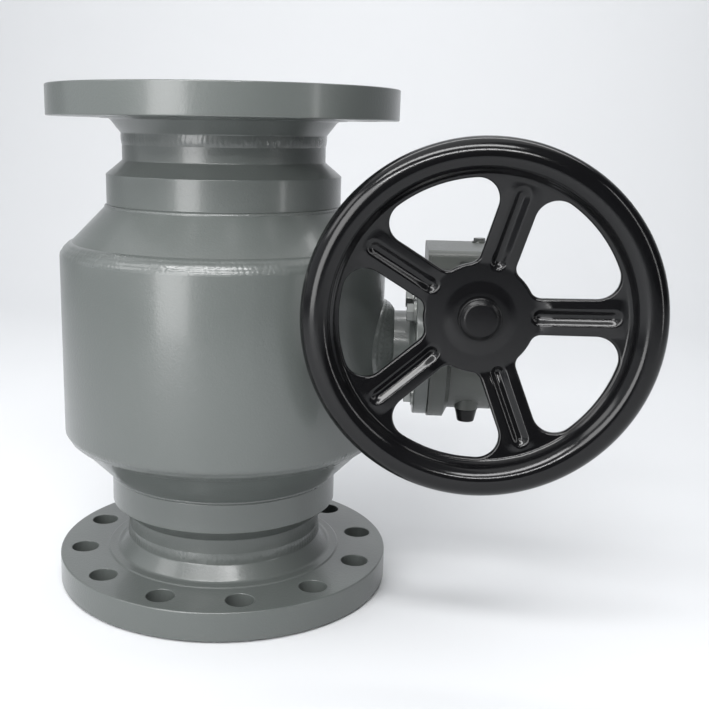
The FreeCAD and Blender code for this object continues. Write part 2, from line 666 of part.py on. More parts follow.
# ---------------------------------------------------------------- worm shaft
thread_turns = 6
thread_half = pitch * (thread_turns / 2)
thread_root = d.worm_pitch_radius - d.gear_module * 1.2
thread_tip = d.worm_pitch_radius + d.gear_module * 0.9
journal_end = d.hub_plane - d.wheel_sheet
worm = turned_part("worm_shaft", "worm", [
    (0, -49), (d.shaft_radius, -49), (d.shaft_radius, -30), (16, -30), (16, -28),
    (thread_root, -28), (thread_root, 28), (16, 28), (16, 30), (d.shaft_radius, 30),
    (d.shaft_radius, journal_end), (0, journal_end)])
tooth_half = pitch / 4 - d.flank_gap / 2
tooth_foot = tooth_half + (d.worm_pitch_radius - thread_root + 0.3) * flank
tooth_tip = tooth_half - (thread_tip - d.worm_pitch_radius) * flank
start = pitch * (0.25 - thread_turns / 2)
profile = sketch_on(worm, "XZ_Plane")
draw_outline(profile, [
    (thread_root - 0.3, start - tooth_foot), (thread_tip, start - tooth_tip),
    (thread_tip, start + tooth_tip), (thread_root - 0.3, start + tooth_foot)])
thread = worm.newObject("PartDesign::AdditiveHelix", "Thread")
thread.Profile = profile
thread.ReferenceAxis = (profile, ["V_Axis"])
thread.Mode = "pitch-turns-angle"
thread.Pitch = pitch.value
bind(thread, "Pitch", pitch)
thread.Turns = thread_turns - 0.5
thread.LeftHanded = False
doc.recompute()
pocket(worm, "XY_Plane", lambda s: draw_outline(s, [(-4, 8.5), (4, 8.5), (4, 14), (-4, 14)]),
       118, 148)
pocket(worm, "XY_Plane", lambda s: draw_circle(s, 0, 0, 5), 128, journal_end)

bushes = []
for side in (-1, 1):
    near = 30.1 if side > 0 else -49.0
    outer = primitive("Cylinder", at(z=near), Radius=d.tunnel_radius, Height=18.9)
    inner = primitive("Cylinder", at(z=near - 1), Radius=d.shaft_radius + d.running_gap, Height=21)
    bush = doc.addObject("Part::Cut", "Bush")
    bush.Base = outer
    bush.Tool = inner
    bushes.append(bush)
group_node("worm_bushes", "worm", bushes)

end_face = d.box_half
front_cover = turned_part("worm_front_cover", "worm", [
    (d.shaft_radius + 0.3, end_face - 5.5), (d.tunnel_radius, end_face - 5.5),
    (d.tunnel_radius, end_face), (d.end_cover_radius, end_face), (d.end_cover_radius, end_face + 8),
    (19.6, end_face + 8), (19.6, end_face + 17), (18, end_face + 17), (18, end_face + 9),
    (d.shaft_radius + 0.3, end_face + 9)])
rear_cover = turned_part("worm_rear_cover", "worm", [
    (0, -end_face - 8), (d.end_cover_radius, -end_face - 8), (d.end_cover_radius, -end_face),
    (d.tunnel_radius, -end_face),
    (d.tunnel_radius, -end_face + 5.5), (0, -end_face + 5.5)])
for cover, low, high in ((front_cover, end_face - 1, end_face + 9),
                         (rear_cover, -end_face - 9, -end_face + 1)):
    hole = pocket(cover, "XY_Plane", lambda s: draw_circle(s, END_SCREWS[0][0], END_SCREWS[0][1], 3.2),
                  low, high)
    polar(cover, hole, 4)
ring("worm_seal", "worm", d.shaft_radius + d.running_gap, 18, end_face + 9, end_face + 16)
face = DRIVING_SIZES["box_half"] + 8
group_node("front_cover_screws", "worm", [
    hex_bolt(x, y, face, face - 20, 3.0, 5.7, 4.0) for x, y in END_SCREWS])
group_node("rear_cover_screws", "worm", [
    hex_bolt(x, y, -face, -face + 20, 3.0, 5.7, 4.0) for x, y in END_SCREWS])

# ---------------------------------------------------------------- handwheel
hub_back = d.hub_plane - d.wheel_sheet
rim_mid = (d.wheel_radius + d.rim_inner_radius) / 2
rim_half = (d.wheel_radius - d.rim_inner_radius) / 2
RIM_ARCH = ((-1.0, 0.0), (-0.72, 0.5), (-0.36, 0.88), (0.0, 1.0),
            (0.36, 0.88), (0.72, 0.5), (1.0, -0.1))
front = [(8.5, d.hub_plane), (d.hub_disc_radius, d.hub_plane), (d.hub_disc_radius + 6, d.hub_plane + 3)]
front += [(rim_mid + rim_half * u, d.rim_plane + d.rim_crown * v) for u, v in RIM_ARCH]
front.append((d.wheel_radius, d.rim_plane - 6))
inner_half = rim_half - d.wheel_sheet
back = [(d.wheel_radius - d.wheel_sheet, d.rim_plane - 6)]
back += [(rim_mid + inner_half * u, d.rim_plane + (d.rim_crown - d.wheel_sheet) * v)
         for u, v in reversed(RIM_ARCH[1:-1])]
back += [(d.rim_inner_radius, d.rim_plane - d.wheel_sheet),
         (d.hub_disc_radius + 6, d.hub_plane + 3 - d.wheel_sheet),
         (d.hub_disc_radius, hub_back), (8.5, hub_back)]
handwheel = turned_part("handwheel", "worm", front + back)
half_turn = math.radians(180.0 / SPOKES)
middle = math.radians(FIRST_SPOKE + 180.0 / SPOKES)


def window_point(along, side):
    """A corner at a distance along the spoke's edge; side picks which neighbouring spoke."""
    turn = middle + side * half_turn
    across = d.spoke_half * -side
    return (along * math.cos(turn) - across * math.sin(turn),
            along * math.sin(turn) + across * math.cos(turn))


outer_reach = d.rim_inner_radius - 2
window = [window_point(d.window_inner, -1), window_point(outer_reach, -1)]
for share in (-0.5, 0.0, 0.5):
    turn = middle + share * half_turn
    window.append((outer_reach * math.cos(turn), outer_reach * math.sin(turn)))
window += [window_point(outer_reach, 1), window_point(d.window_inner, 1)]
opening = pocket(handwheel, "XY_Plane", lambda s: draw_outline(s, window),
                 d.hub_plane - 20, d.rim_plane + 30)
polar(handwheel, opening, SPOKES)


hub_boss = ring("handwheel_hub", "worm", d.shaft_radius + 0.02, 21, hub_back - 40, hub_back)
pocket(hub_boss, "XY_Plane", lambda s: draw_outline(s, [(-4, 8.5), (4, 8.5), (4, 15), (-4, 15)]),
       hub_back - 40, hub_back)
wheel_key = new_body("handwheel_key", "worm")
pad(wheel_key, "XY_Plane", lambda s: draw_outline(s, [(-4, 8.5), (4, 8.5), (4, 15), (-4, 15)]),
    118, 148)
ring("hub_washer", "worm", 5.5, 17, d.hub_plane, d.hub_plane + 2.5)
screw_face = DRIVING_SIZES["hub_plane"] + 2.5
hub_screw = hex_bolt(0, 0, screw_face, screw_face - 30, 5.0, 9.8, 6.5)
hub_screw.Label = "hub_screw"
place(hub_screw, "worm")
nodes.append(hub_screw)
turned_part("hub_cap", "worm", [
    (18.5, d.hub_plane), (20.5, d.hub_plane), (20.5, d.hub_plane + 8), (19, d.hub_plane + 10.5),
    (12, d.hub_plane + 12), (0, d.hub_plane + 12.6), (0, d.hub_plane + 10.6),
    (12, d.hub_plane + 10), (18.5, d.hub_plane + 8.5)])

# ---------------------------------------------------------------- check and export
doc.recompute()
for obj in doc.Objects:
    if "Invalid" in obj.State or "Error" in obj.State:
        raise RuntimeError(f"{obj.Label} did not compute: {obj.State}")
os.makedirs("parts", exist_ok=True)
for node in nodes:
    shape = node.Shape
    if shape.isNull() or not shape.isValid() or not shape.Solids:
        raise RuntimeError(f"{node.Label} has no valid solid")
    shape.exportStep(f"parts/{node.Label}.step")
    print(f"{node.Label:24s} {len(shape.Solids)} solids {shape.Volume / 1000:10.2f} cm3")
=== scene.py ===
"""Looks of the geared ball valve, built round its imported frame.

Metres, +Z up the bore, +X out along the stem, -Y out towards the handwheel.
"""
import json
import math

import bmesh
import bpy
from mathutils import Matrix, Vector, noise


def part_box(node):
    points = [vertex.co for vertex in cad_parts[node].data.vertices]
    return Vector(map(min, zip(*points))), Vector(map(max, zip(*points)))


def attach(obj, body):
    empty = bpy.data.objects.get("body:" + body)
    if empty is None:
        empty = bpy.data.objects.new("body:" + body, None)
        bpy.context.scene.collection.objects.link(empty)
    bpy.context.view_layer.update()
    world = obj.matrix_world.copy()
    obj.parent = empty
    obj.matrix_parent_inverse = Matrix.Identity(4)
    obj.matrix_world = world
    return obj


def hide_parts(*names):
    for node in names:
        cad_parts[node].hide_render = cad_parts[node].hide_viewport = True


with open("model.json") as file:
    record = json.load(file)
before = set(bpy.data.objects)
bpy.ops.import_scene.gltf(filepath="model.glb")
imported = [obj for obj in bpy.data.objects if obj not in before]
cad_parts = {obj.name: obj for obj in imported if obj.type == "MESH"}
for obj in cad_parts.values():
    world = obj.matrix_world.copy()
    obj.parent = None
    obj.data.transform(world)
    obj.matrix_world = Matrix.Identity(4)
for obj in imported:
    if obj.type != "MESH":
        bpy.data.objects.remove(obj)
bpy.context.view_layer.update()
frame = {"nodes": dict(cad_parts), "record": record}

MM = 0.001
ENDS = ("lower", "upper")


# ---------------------------------------------------------------- sizes taken from the frame
def high(node):
    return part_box(node)[1]


def low(node):
    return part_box(node)[0]


HEIGHT = high("upper_flange").z
MID = HEIGHT / 2
RIM_R = high("lower_flange").x
RIM_TOP = 34 * MM
HUB_TOP = high("lower_flange").z
TUBE_START = low("lower_end_tube").z
PIPE_R = high("lower_hub_weld").x - 1.6 * MM
BORE_R = 100 * MM
BOLT_CIRCLE_R = 160 * MM
BOLT_HOLE_R = 15 * MM
BOLTS = 12
FACE_R = 142.5 * MM
FACE_STEP = 2 * MM
RING_R = high("lower_end_tube").x
RING_START = 93 * MM
CONE_START = low("lower_cone").z
CONE_END = high("lower_cone").z
CONE_R = high("lower_cone").x
SHELL_START = low("body_shell").z
SHELL_R = high("body_shell").y
SHELL_WALL = 10 * MM
WHEEL_X = (low("handwheel").x + high("handwheel").x) / 2
WHEEL_Z = (low("handwheel").z + high("handwheel").z) / 2
WHEEL_R = (high("handwheel").x - low("handwheel").x) / 2
WHEEL_FRONT = -low("handwheel").y
HUB_PLANE = 158 * MM


# ---------------------------------------------------------------- shader helpers
class Wiring:
    """Adds and joins nodes in one tree, without a line for each link."""

    def __init__(self, tree):
        self.tree = tree

    def add(self, kind, sockets=None, family="ShaderNode", **settings):
        node = self.tree.nodes.new(family + kind)
        for name, value in settings.items():
            setattr(node, name, value)
        for name, value in (sockets or {}).items():
            if isinstance(value, bpy.types.NodeSocket):
                self.tree.links.new(value, node.inputs[name])
            else:
                node.inputs[name].default_value = value
        return node

    def math(self, operation, a, b=0.0):
        return self.add("Math", {0: a, 1: b}, operation=operation).outputs[0]

    def spread(self, value, from_low, from_high, to_low=0.0, to_high=1.0):
        """Maps a value from one range to another, held at its ends."""
        node = self.add("MapRange", {"Value": value, "From Min": from_low, "From Max": from_high,
                                     "To Min": to_low, "To Max": to_high})
        return node.outputs["Result"]

    def mix(self, factor, a, b):
        node = self.add("Mix", {0: factor, 6: a, 7: b}, data_type="RGBA")
        return node.outputs[2]

    def noise(self, vector, scale, detail=3.0, roughness=0.55):
        node = self.add("TexNoise", {"Vector": vector, "Scale": scale, "Detail": detail,
                                     "Roughness": roughness})
        return node.outputs["Fac"]


def new_group(name, inputs, outputs):
    """A shader group with float or vector inputs; returns its wiring, input and output nodes."""
    tree = bpy.data.node_groups.new(name, "ShaderNodeTree")
    for label, kind, value in inputs:
        socket = tree.interface.new_socket(name=label, in_out="INPUT", socket_type=f"NodeSocket{kind}")
        if value is not None:
            socket.default_value = value
    for label, kind in outputs:
        tree.interface.new_socket(name=label, in_out="OUTPUT", socket_type=f"NodeSocket{kind}")
    return Wiring(tree), tree.nodes.new("NodeGroupInput").outputs, tree.nodes.new("NodeGroupOutput").inputs


def build_film_group():
    """Sprayed paint: orange peel as a height, and slow thickness clouds as a 0 to 1 value."""
    w, given, made = new_group(
        "paint_film",
        [("Vector", "Vector", None), ("Peel Scale", "Float", 500.0), ("Cloud Scale", "Float", 9.0),
         ("Speck", "Float", 0.3)],
        [("Height", "Float"), ("Cloud", "Float")])
    peel = w.noise(given["Vector"], given["Peel Scale"], detail=2.0, roughness=0.5)
    fine = w.noise(given["Vector"], w.math("MULTIPLY", given["Peel Scale"], 3.1), detail=1.0)
    height = w.math("ADD", peel, w.math("MULTIPLY", fine, given["Speck"]))
    w.tree.links.new(height, made["Height"])
    cloud = w.noise(given["Vector"], given["Cloud Scale"], detail=4.0, roughness=0.6)
    w.tree.links.new(w.spread(cloud, 0.32, 0.68), made["Cloud"])
    return w.tree


def build_metal_group():
    """Turned or rolled metal: fine lines round the Z axis as a height, and slow tone as a value."""
    w, given, made = new_group(
        "tool_marks",
        [("Vector", "Vector", None), ("Pitch", "Float", 0.0008), ("Grain Scale", "Float", 220.0)],
        [("Height", "Float"), ("Tone", "Float")])
    flat = w.add("VectorMath", {0: given["Vector"], 1: (1.0, 1.0, 0.0)}, operation="MULTIPLY")
    radius = w.add("VectorMath", {0: flat.outputs["Vector"]}, operation="LENGTH").outputs["Value"]
    turns = w.math("DIVIDE", radius, given["Pitch"])
    lines = w.math("SINE", w.math("MULTIPLY", turns, 2 * math.pi))
    grain = w.noise(given["Vector"], given["Grain Scale"], detail=4.0, roughness=0.65)
    height = w.math("ADD", w.math("MULTIPLY", lines, 0.35), grain)
    w.tree.links.new(height, made["Height"])
    tone = w.noise(given["Vector"], w.math("MULTIPLY", given["Grain Scale"], 0.12), detail=3.0)
    w.tree.links.new(w.spread(tone, 0.3, 0.7), made["Tone"])
    return w.tree


FILM = build_film_group()
MARKS = build_metal_group()


def start_material(name):
    """An empty material with its shader and Object coordinates."""
    material = bpy.data.materials.new(name)
    material.use_nodes = True
    tree = material.node_tree
    tree.nodes.clear()
    wires = Wiring(tree)
    shader = wires.add("BsdfPrincipled")
    output = wires.add("OutputMaterial")
    tree.links.new(shader.outputs["BSDF"], output.inputs["Surface"])
    place = wires.add("TexCoord").outputs["Object"]
    return material, wires, shader, place


def use_group(wires, group, **sockets):
    """Places a group with its own values; peel_scale=... sets the input Peel Scale."""
    node = wires.add("Group")
    node.node_tree = group
    for name, value in sockets.items():
        label = name.replace("_", " ").title()
        if isinstance(value, bpy.types.NodeSocket):
            wires.tree.links.new(value, node.inputs[label])
        else:
            node.inputs[label].default_value = value
    return node.outputs


def shade_with(wires, shader, colour, roughness, height, strength, distance):
    """Joins colour, roughness and a bump height to the shader."""
    bump = wires.add("Bump", {"Strength": strength, "Distance": distance, "Height": height})
    links = wires.tree.links
    links.new(bump.outputs["Normal"], shader.inputs["Normal"])
    links.new(colour, shader.inputs["Base Color"])
    links.new(roughness, shader.inputs["Roughness"])


def scaled(colour, share):
    """A colour made lighter or darker, as red, green, blue and alpha."""
    return (colour[0] * share, colour[1] * share, colour[2] * share, 1.0)


def paint(name, colour, rough=(0.3, 0.4), peel=500.0, speck=0.3, bump=0.12, coat=0.0,
          coat_rough=0.1, cloud=0.012, shine=0.5):
    """Sprayed paint with orange peel and slow cloudiness."""
    material, w, shader, place = start_material(name)
    film = use_group(w, FILM, vector=place, peel_scale=peel, speck=speck)
    body = w.mix(film["Cloud"], scaled(colour, 1 - cloud), scaled(colour, 1 + cloud))
    roughness = w.spread(film["Cloud"], 0.0, 1.0, rough[0], rough[1])
    shade_with(w, shader, body, roughness, film["Height"], bump, 0.0006)
    shader.inputs["Coat Weight"].default_value = coat
    shader.inputs["Coat Roughness"].default_value = coat_rough
    shader.inputs["Specular IOR Level"].default_value = shine
    return material


def metal(name, colour, rough=(0.22, 0.38), pitch=0.0008, grain=220.0, bump=0.15, stain=0.15):
    """Bare or plated metal with tool marks and slow tone."""
    material, w, shader, place = start_material(name)
    marks = use_group(w, MARKS, vector=place, pitch=pitch, grain_scale=grain)
    tone = w.mix(marks["Tone"], scaled(colour, 1 - stain), scaled(colour, 1 + stain * 0.5))
    roughness = w.spread(marks["Tone"], 0.0, 1.0, rough[1], rough[0])
    shade_with(w, shader, tone, roughness, marks["Height"], bump, 0.0003)
    shader.inputs["Metallic"].default_value = 1.0
    return material


def moulded(name, colour, rough=(0.3, 0.45), grain=900.0, bump=0.1, shine=0.5):
    """Moulded plastic or rubber with a fine skin."""
    material, w, shader, place = start_material(name)
    film = use_group(w, FILM, vector=place, peel_scale=grain, speck=0.8)
    tone = w.mix(film["Cloud"], scaled(colour, 0.85), scaled(colour, 1.15))
    roughness = w.spread(film["Cloud"], 0.0, 1.0, rough[0], rough[1])
    shade_with(w, shader, tone, roughness, film["Height"], bump, 0.0003)
    shader.inputs["Specular IOR Level"].default_value = shine
    return material


GREY = (0.086, 0.095, 0.091)
FINISHES = {
    "body_paint": paint("valve_grey_paint", GREY, rough=(0.30, 0.34), peel=420.0, bump=0.32,
                        coat=0.35, coat_rough=0.14),
    "weld_paint": paint("weld_grey_paint", GREY, rough=(0.26, 0.32), peel=900.0, speck=0.6, bump=0.3,
                        coat=0.5, coat_rough=0.08),
    "gearbox_paint": paint("gearbox_grey_paint", (0.062, 0.067, 0.062), rough=(0.34, 0.42),
                           peel=650.0, speck=0.7, bump=0.35),
    "ball_plating": metal("hard_plated_ball", (0.80, 0.81, 0.83), rough=(0.05, 0.11), bump=0.02,
                          grain=40.0, stain=0.04),
    "machined_steel": metal("turned_steel", (0.52, 0.52, 0.51)),
    "seat_polymer": moulded("white_seat_polymer", (0.78, 0.77, 0.72)),
    "seal_rubber": moulded("seal_rubber", (0.018, 0.018, 0.018), rough=(0.5, 0.65)),
    "bronze": metal("bush_bronze", (0.66, 0.42, 0.19)),
    "spring_steel": metal("spring_steel", (0.34, 0.35, 0.37), grain=400.0),
    "wheel_enamel": paint("black_wheel_enamel", (0.0032, 0.0032, 0.0036), rough=(0.11, 0.14),
                          peel=700.0, speck=0.5, bump=0.05, cloud=0.2, shine=0.34),
    "black_plastic": moulded("black_cap_plastic", (0.004, 0.004, 0.0044), rough=(0.18, 0.26),
                             shine=0.22),
    "indicator_paint": paint("indicator_red_paint", (0.42, 0.035, 0.02), peel=800.0),
    "zinc_steel": metal("zinc_plated_steel", (0.30, 0.31, 0.30), rough=(0.3, 0.42), grain=500.0,
                        pitch=0.0005),
}
SLOT_OF = {row["node"]: row["material_slot"] for row in frame["record"]["subparts"]}
for node_name, node in frame["nodes"].items():
    node.data.materials.clear()
    node.data.materials.append(FINISHES[SLOT_OF[node_name]])


# ---------------------------------------------------------------- mesh helpers
FRAMES = {
    "lower": Matrix.Identity(4),
    "upper": Matrix.Translation((0, 0, HEIGHT)) @ Matrix.Rotation(math.pi, 4, "X"),
    "stem": Matrix.Translation((0, 0, MID)) @ Matrix.Rotation(math.pi / 2, 4, "Y"),
    "worm": Matrix.Translation((WHEEL_X, 0, WHEEL_Z)) @ Matrix.Rotation(math.pi / 2, 4, "X"),
}
SHARP = math.radians(38)
FLAT = 0.001 * MM


def make_piece(name, bm, place, finish, body="valve", stands_for=(), weighted=True):
    """Turns a bmesh into a shown piece: smooth faces, sharp corners, on a body, in a finish."""
    bm.transform(FRAMES[place])
    for face in bm.faces:
        face.smooth = True
    for edge in bm.edges:
        if len(edge.link_faces) == 2 and edge.calc_face_angle(0.0) > SHARP:
            edge.smooth = False
    mesh = bpy.data.meshes.new(name)
    bm.to_mesh(mesh)
    bm.free()
    mesh.materials.append(FINISHES[finish])
    piece = bpy.data.objects.new(name, mesh)
    bpy.context.scene.collection.objects.link(piece)
    if weighted:
        even = piece.modifiers.new("flat faces stay flat", "WEIGHTED_NORMAL")
        even.keep_sharp = True
    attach(piece, body)
    if stands_for:
        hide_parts(*stands_for)
    return piece


def rounded(corners, steps=5):
    """Points of a closed outline whose (r, z, radius) corners become arcs."""
    points = []
    count = len(corners)
    for index, (x, y, radius) in enumerate(corners):
        here = Vector((x, y))
        before = Vector(corners[index - 1][:2]) - here
        after = Vector(corners[(index + 1) % count][:2]) - here
        half = before.angle(after) / 2
        reach = min(radius / math.tan(half), 0.49 * before.length, 0.49 * after.length)
        if reach < 1e-7:
            points.append((x, y))
            continue
        radius = reach * math.tan(half)
        centre = here + (before.normalized() + after.normalized()).normalized() * (radius / math.sin(half))
        first = here + before.normalized() * reach - centre
        last = here + after.normalized() * reach - centre
        start = math.atan2(first.y, first.x)
        sweep = (math.atan2(last.y, last.x) - start + math.pi) % (2 * math.pi) - math.pi
        for step in range(steps + 1):
            turn = start + sweep * step / steps
            points.append((centre.x + radius * math.cos(turn), centre.y + radius * math.sin(turn)))
    return points


def join_rows(bm, here, there):
    """Faces between two closed cross-sections that stand side by side."""
    for index in range(len(here)):
        nxt = (index + 1) % len(here)
        bm.faces.new((here[index], there[index], there[nxt], here[nxt]))


def turned(outline, around=192):
    """A closed (r, z) outline turned about Z."""
    bm = bmesh.new()
    rows = []
    for step in range(around):
        turn = 2 * math.pi * step / around
        rows.append([bm.verts.new((r * math.cos(turn), r * math.sin(turn), z)) for r, z in outline])
    for step in range(around):
        join_rows(bm, rows[step], rows[(step + 1) % around])
    bmesh.ops.remove_doubles(bm, verts=bm.verts, dist=1e-7)
    bmesh.ops.recalc_face_normals(bm, faces=bm.faces)
    return bm


def circle_loop(bm, centre, radius, height_at, count, first=0.0):
    """Vertices round a circle, each as high as height_at(x, y)."""
    verts = []
    for step in range(count):
        turn = first + 2 * math.pi * step / count
        x, y = centre[0] + radius * math.cos(turn), centre[1] + radius * math.sin(turn)
        verts.append(bm.verts.new((x, y, height_at(x, y))))
    return verts


def level(z):
    """The same height everywhere."""
    return lambda x, y: z


def join_loops(bm, first, second):
    """Faces between two closed loops of the same count."""
    for index in range(len(first)):
        nxt = (index + 1) % len(first)
        bm.faces.new((first[index], first[nxt], second[nxt], second[index]))


def drill(bm, centres, radius, z_low, z_high, lip, count=40):
    """Straight holes with rounded lips between two flat ring faces of a turned mesh."""
    sections = []
    for step in range(4):
        turn = math.radians(30 * step)
        sections.append((radius + lip * (1 - math.sin(turn)), z_low + lip * (1 - math.cos(turn))))
    sections += [(r, z_low + z_high - z) for r, z in reversed(sections)]
    loops = {z_low: [], z_high: []}
    for centre in centres:
        rings = [circle_loop(bm, centre, r, level(z), count) for r, z in sections]
        for first, second in zip(rings, rings[1:]):
            join_loops(bm, first, second)
        loops[z_low].append(rings[0])
        loops[z_high].append(rings[-1])
    reach = max(Vector(c).length for c in centres)
    for z, rings in loops.items():
        band = {face for face in bm.faces if len(face.verts) == 4 and spans(face, z, reach)}
        border = [edge for edge in bm.edges if sum(face in band for face in edge.link_faces) == 1]
        bmesh.ops.delete(bm, geom=list(band), context="FACES_ONLY")
        for ring in rings:
            border += [bm.edges.get((ring[i - 1], ring[i])) for i in range(len(ring))]
        bmesh.ops.triangle_fill(bm, use_beauty=True, use_dissolve=False, edges=border)
    bmesh.ops.recalc_face_normals(bm, faces=bm.faces)


def spans(face, z, radius):
    """True for a face that is flat at a height and crosses a radius."""
    radii = [vert.co.xy.length for vert in face.verts]
    return all(abs(vert.co.z - z) < FLAT for vert in face.verts) and min(radii) < radius < max(radii)


BEAD_STEPS = 6
BEAD_PITCH = 5 * MM
CROWN_FULLNESS = 0.7
CREST_RISE = 0.32 * MM
CREST_FULLNESS = 0.8
CREST_LAG = 2.4
PASS_LAG = 2.1
EDGE_FADE = 8
FINE_GRAIN, FINE_RISE = 260, 0.16 * MM
COARSE_GRAIN, COARSE_RISE = 70, 0.22 * MM


def lay_bead(rails, crown, passes, around=1200, ripple=0.06 * MM, sink=1.6 * MM, seed=0.0):
    """Weld metal laid in passes between two rails. rails(turn) gives start, end and outward normal.

    The crown lifts the whole bead, each pass has its crest, and ripples run back along the crests.
    """
    across = passes * BEAD_STEPS
    bm = bmesh.new()
    rows = []
    length = 0.0
    previous = None
    for step in range(around):
        turn = 2 * math.pi * step / around
        start, end, out = rails(turn)
        middle = (start + end) / 2
        length += (middle - previous).length if previous is not None else 0.0
        previous = middle
        row = []
        for index in range(across + 1):
            share = index / across
            inside = (share * passes) % 1.0 if index < across else 1.0
            crest = math.sin(math.pi * inside) ** CREST_FULLNESS if 0 < inside < 1 else 0.0
            which = min(int(share * passes), passes - 1)
            wave = math.sin(2 * math.pi * length / BEAD_PITCH + which * PASS_LAG - CREST_LAG * crest)
            spot = start.lerp(end, share)
            drawn = spot + Vector((seed, seed, seed))
            rough = noise.noise(drawn * FINE_GRAIN) * FINE_RISE
            rough += noise.noise(drawn * COARSE_GRAIN) * COARSE_RISE
            fade = min(1.0, EDGE_FADE * share, EDGE_FADE * (1 - share))
            lift = crown * math.sin(math.pi * share) ** CROWN_FULLNESS if 0 < share < 1 else 0.0
            lift += fade * (CREST_RISE * crest + ripple * wave * (0.4 + 0.6 * crest) + rough)
            row.append(bm.verts.new(spot + out * lift))
        row.append(bm.verts.new(end - out * sink))
        row.append(bm.verts.new(start - out * sink))
        rows.append(row)
    for step in range(around):
        join_rows(bm, rows[step], rows[(step + 1) % around])
    bmesh.ops.recalc_face_normals(bm, faces=bm.faces)
    return bm


def build_ring_bead_tree():
    """A geometry tree for a rippled round bead that follows a circle about the Z axis."""
    tree = bpy.data.node_groups.new("bead_round_a_ring", "GeometryNodeTree")
    for label, kind in (("Ring Radius", "Float"), ("Height", "Float"), ("Bead Radius", "Float"),
                        ("Ripples", "Float"), ("Ripple Depth", "Float"), ("Roughness", "Float"),
                        ("Seed", "Float"), ("Finish", "Material")):
        tree.interface.new_socket(name=label, in_out="INPUT", socket_type=f"NodeSocket{kind}")
    tree.interface.new_socket(name="Bead", in_out="OUTPUT", socket_type="NodeSocketGeometry")
    w = Wiring(tree)
    given = tree.nodes.new("NodeGroupInput").outputs
    made = tree.nodes.new("NodeGroupOutput").inputs

    def shape(kind, sockets, output):
        return w.add(kind, sockets, family="GeometryNode").outputs[output]

    circle = shape("CurvePrimitiveCircle", {"Resolution": 1200, "Radius": given["Ring Radius"]}, "Curve")
    lift = w.add("CombineXYZ", {"Z": given["Height"]}).outputs[0]
    path = shape("Transform", {"Geometry": circle, "Translation": lift}, "Geometry")
    section = shape("CurvePrimitiveCircle", {"Resolution": 16, "Radius": given["Bead Radius"]}, "Curve")
    bead = shape("CurveToMesh", {"Curve": path, "Profile Curve": section}, "Mesh")
    spot = shape("InputPosition", {}, "Position")
    axis = w.add("SeparateXYZ", {0: spot}).outputs
    turn = w.math("ARCTAN2", axis["Y"], axis["X"])
    wave = w.math("SINE", w.math("MULTIPLY", turn, given["Ripples"]))
    ripple = w.math("MULTIPLY", wave, given["Ripple Depth"])
    shifted = w.add("VectorMath", {0: spot, 1: given["Seed"]}, operation="ADD").outputs["Vector"]
    grain = w.math("SUBTRACT", w.noise(shifted, 180.0, detail=2.0), 0.5)
    rise = w.math("ADD", ripple, w.math("MULTIPLY", grain, given["Roughness"]))
    outward = shape("InputNormal", {}, "Normal")
    offset = w.add("VectorMath", {0: outward, "Scale": rise}, operation="SCALE").outputs["Vector"]
    laid = shape("SetPosition", {"Geometry": bead, "Offset": offset}, "Geometry")
    real = shape("RealizeInstances", {"Geometry": laid}, "Geometry")
    w.tree.links.new(shape("SetMaterial", {"Geometry": real, "Material": given["Finish"]}, "Geometry"),
                     made["Bead"])
    return tree


RING_BEAD = build_ring_bead_tree()


def settled_mesh(piece):
    """The plain mesh that an object's modifiers give."""
    bpy.context.view_layer.update()
    return bpy.data.meshes.new_from_object(piece.evaluated_get(bpy.context.evaluated_depsgraph_get()))


def grown(tree, **sizes):
    """The plain mesh that a geometry tree makes from its named sizes."""
    carrier = bpy.data.objects.new("carrier", bpy.data.meshes.new("carrier"))
    bpy.context.scene.collection.objects.link(carrier)
    nodes = carrier.modifiers.new("grow", "NODES")
    nodes.node_group = tree
    for item in tree.interface.items_tree:
        if item.in_out == "INPUT":
            nodes[item.identifier] = sizes[item.name.replace(" ", "_").lower()]
    mesh = settled_mesh(carrier)
    bpy.data.objects.remove(carrier)
    bm = bmesh.new()
    bm.from_mesh(mesh)
    bpy.data.meshes.remove(mesh)
    bmesh.ops.recalc_face_normals(bm, faces=bm.faces)
    return bm


def ring_rails(start, end):
    """Rails of a bead round the Z axis between two (r, z) points; the bead bulges outwards."""
    run = Vector((end[0] - start[0], end[1] - start[1])).normalized()
    out = Vector((run.y, -run.x)) if run.y > 0 else Vector((-run.y, run.x))

    def at(turn):
        c, s = math.cos(turn), math.sin(turn)
        return (Vector((start[0] * c, start[0] * s, start[1])), Vector((end[0] * c, end[0] * s, end[1])),
                Vector((out.x * c, out.x * s, out.y)))
    return at


# ---------------------------------------------------------------- pressure body
def around_axis(count, radius, first):
    """Centres evenly spaced on a circle."""
    turns = [first + 2 * math.pi * i / count for i in range(count)]
    return [(radius * math.cos(turn), radius * math.sin(turn)) for turn in turns]


FACE_GROOVES = 20
GROOVE_PITCH = 1.6 * MM
GROOVE_DEPTH = 0.3 * MM
HUB_FOOT_R = 121 * MM
SHOULDER_R = 132 * MM
SHOULDER_RISE = 1.3 * MM
SLEEVE_R = 118 * MM
SLEEVE_END = high("lower_end_tube").z
POCKET_R = 111 * MM
POCKET_FLOOR = 142 * MM
TUBE_STRAIGHT = 78.5 * MM
CONE_WALL = 8.2 * MM
NECK_R = 38 * MM
NECK_FLARE_TOP = 189.6 * MM
PLATE_LEG = 6 * MM
RING_BEAD_R = 2.7 * MM
RING_BEAD_SINK = 0.4 * MM
RING_BEAD_UP = 2.35 * MM
RING_BEAD_RIPPLES = 160.0
RING_BEAD_DEPTH = 0.07 * MM
RING_BEAD_GRAIN = 0.5 * MM


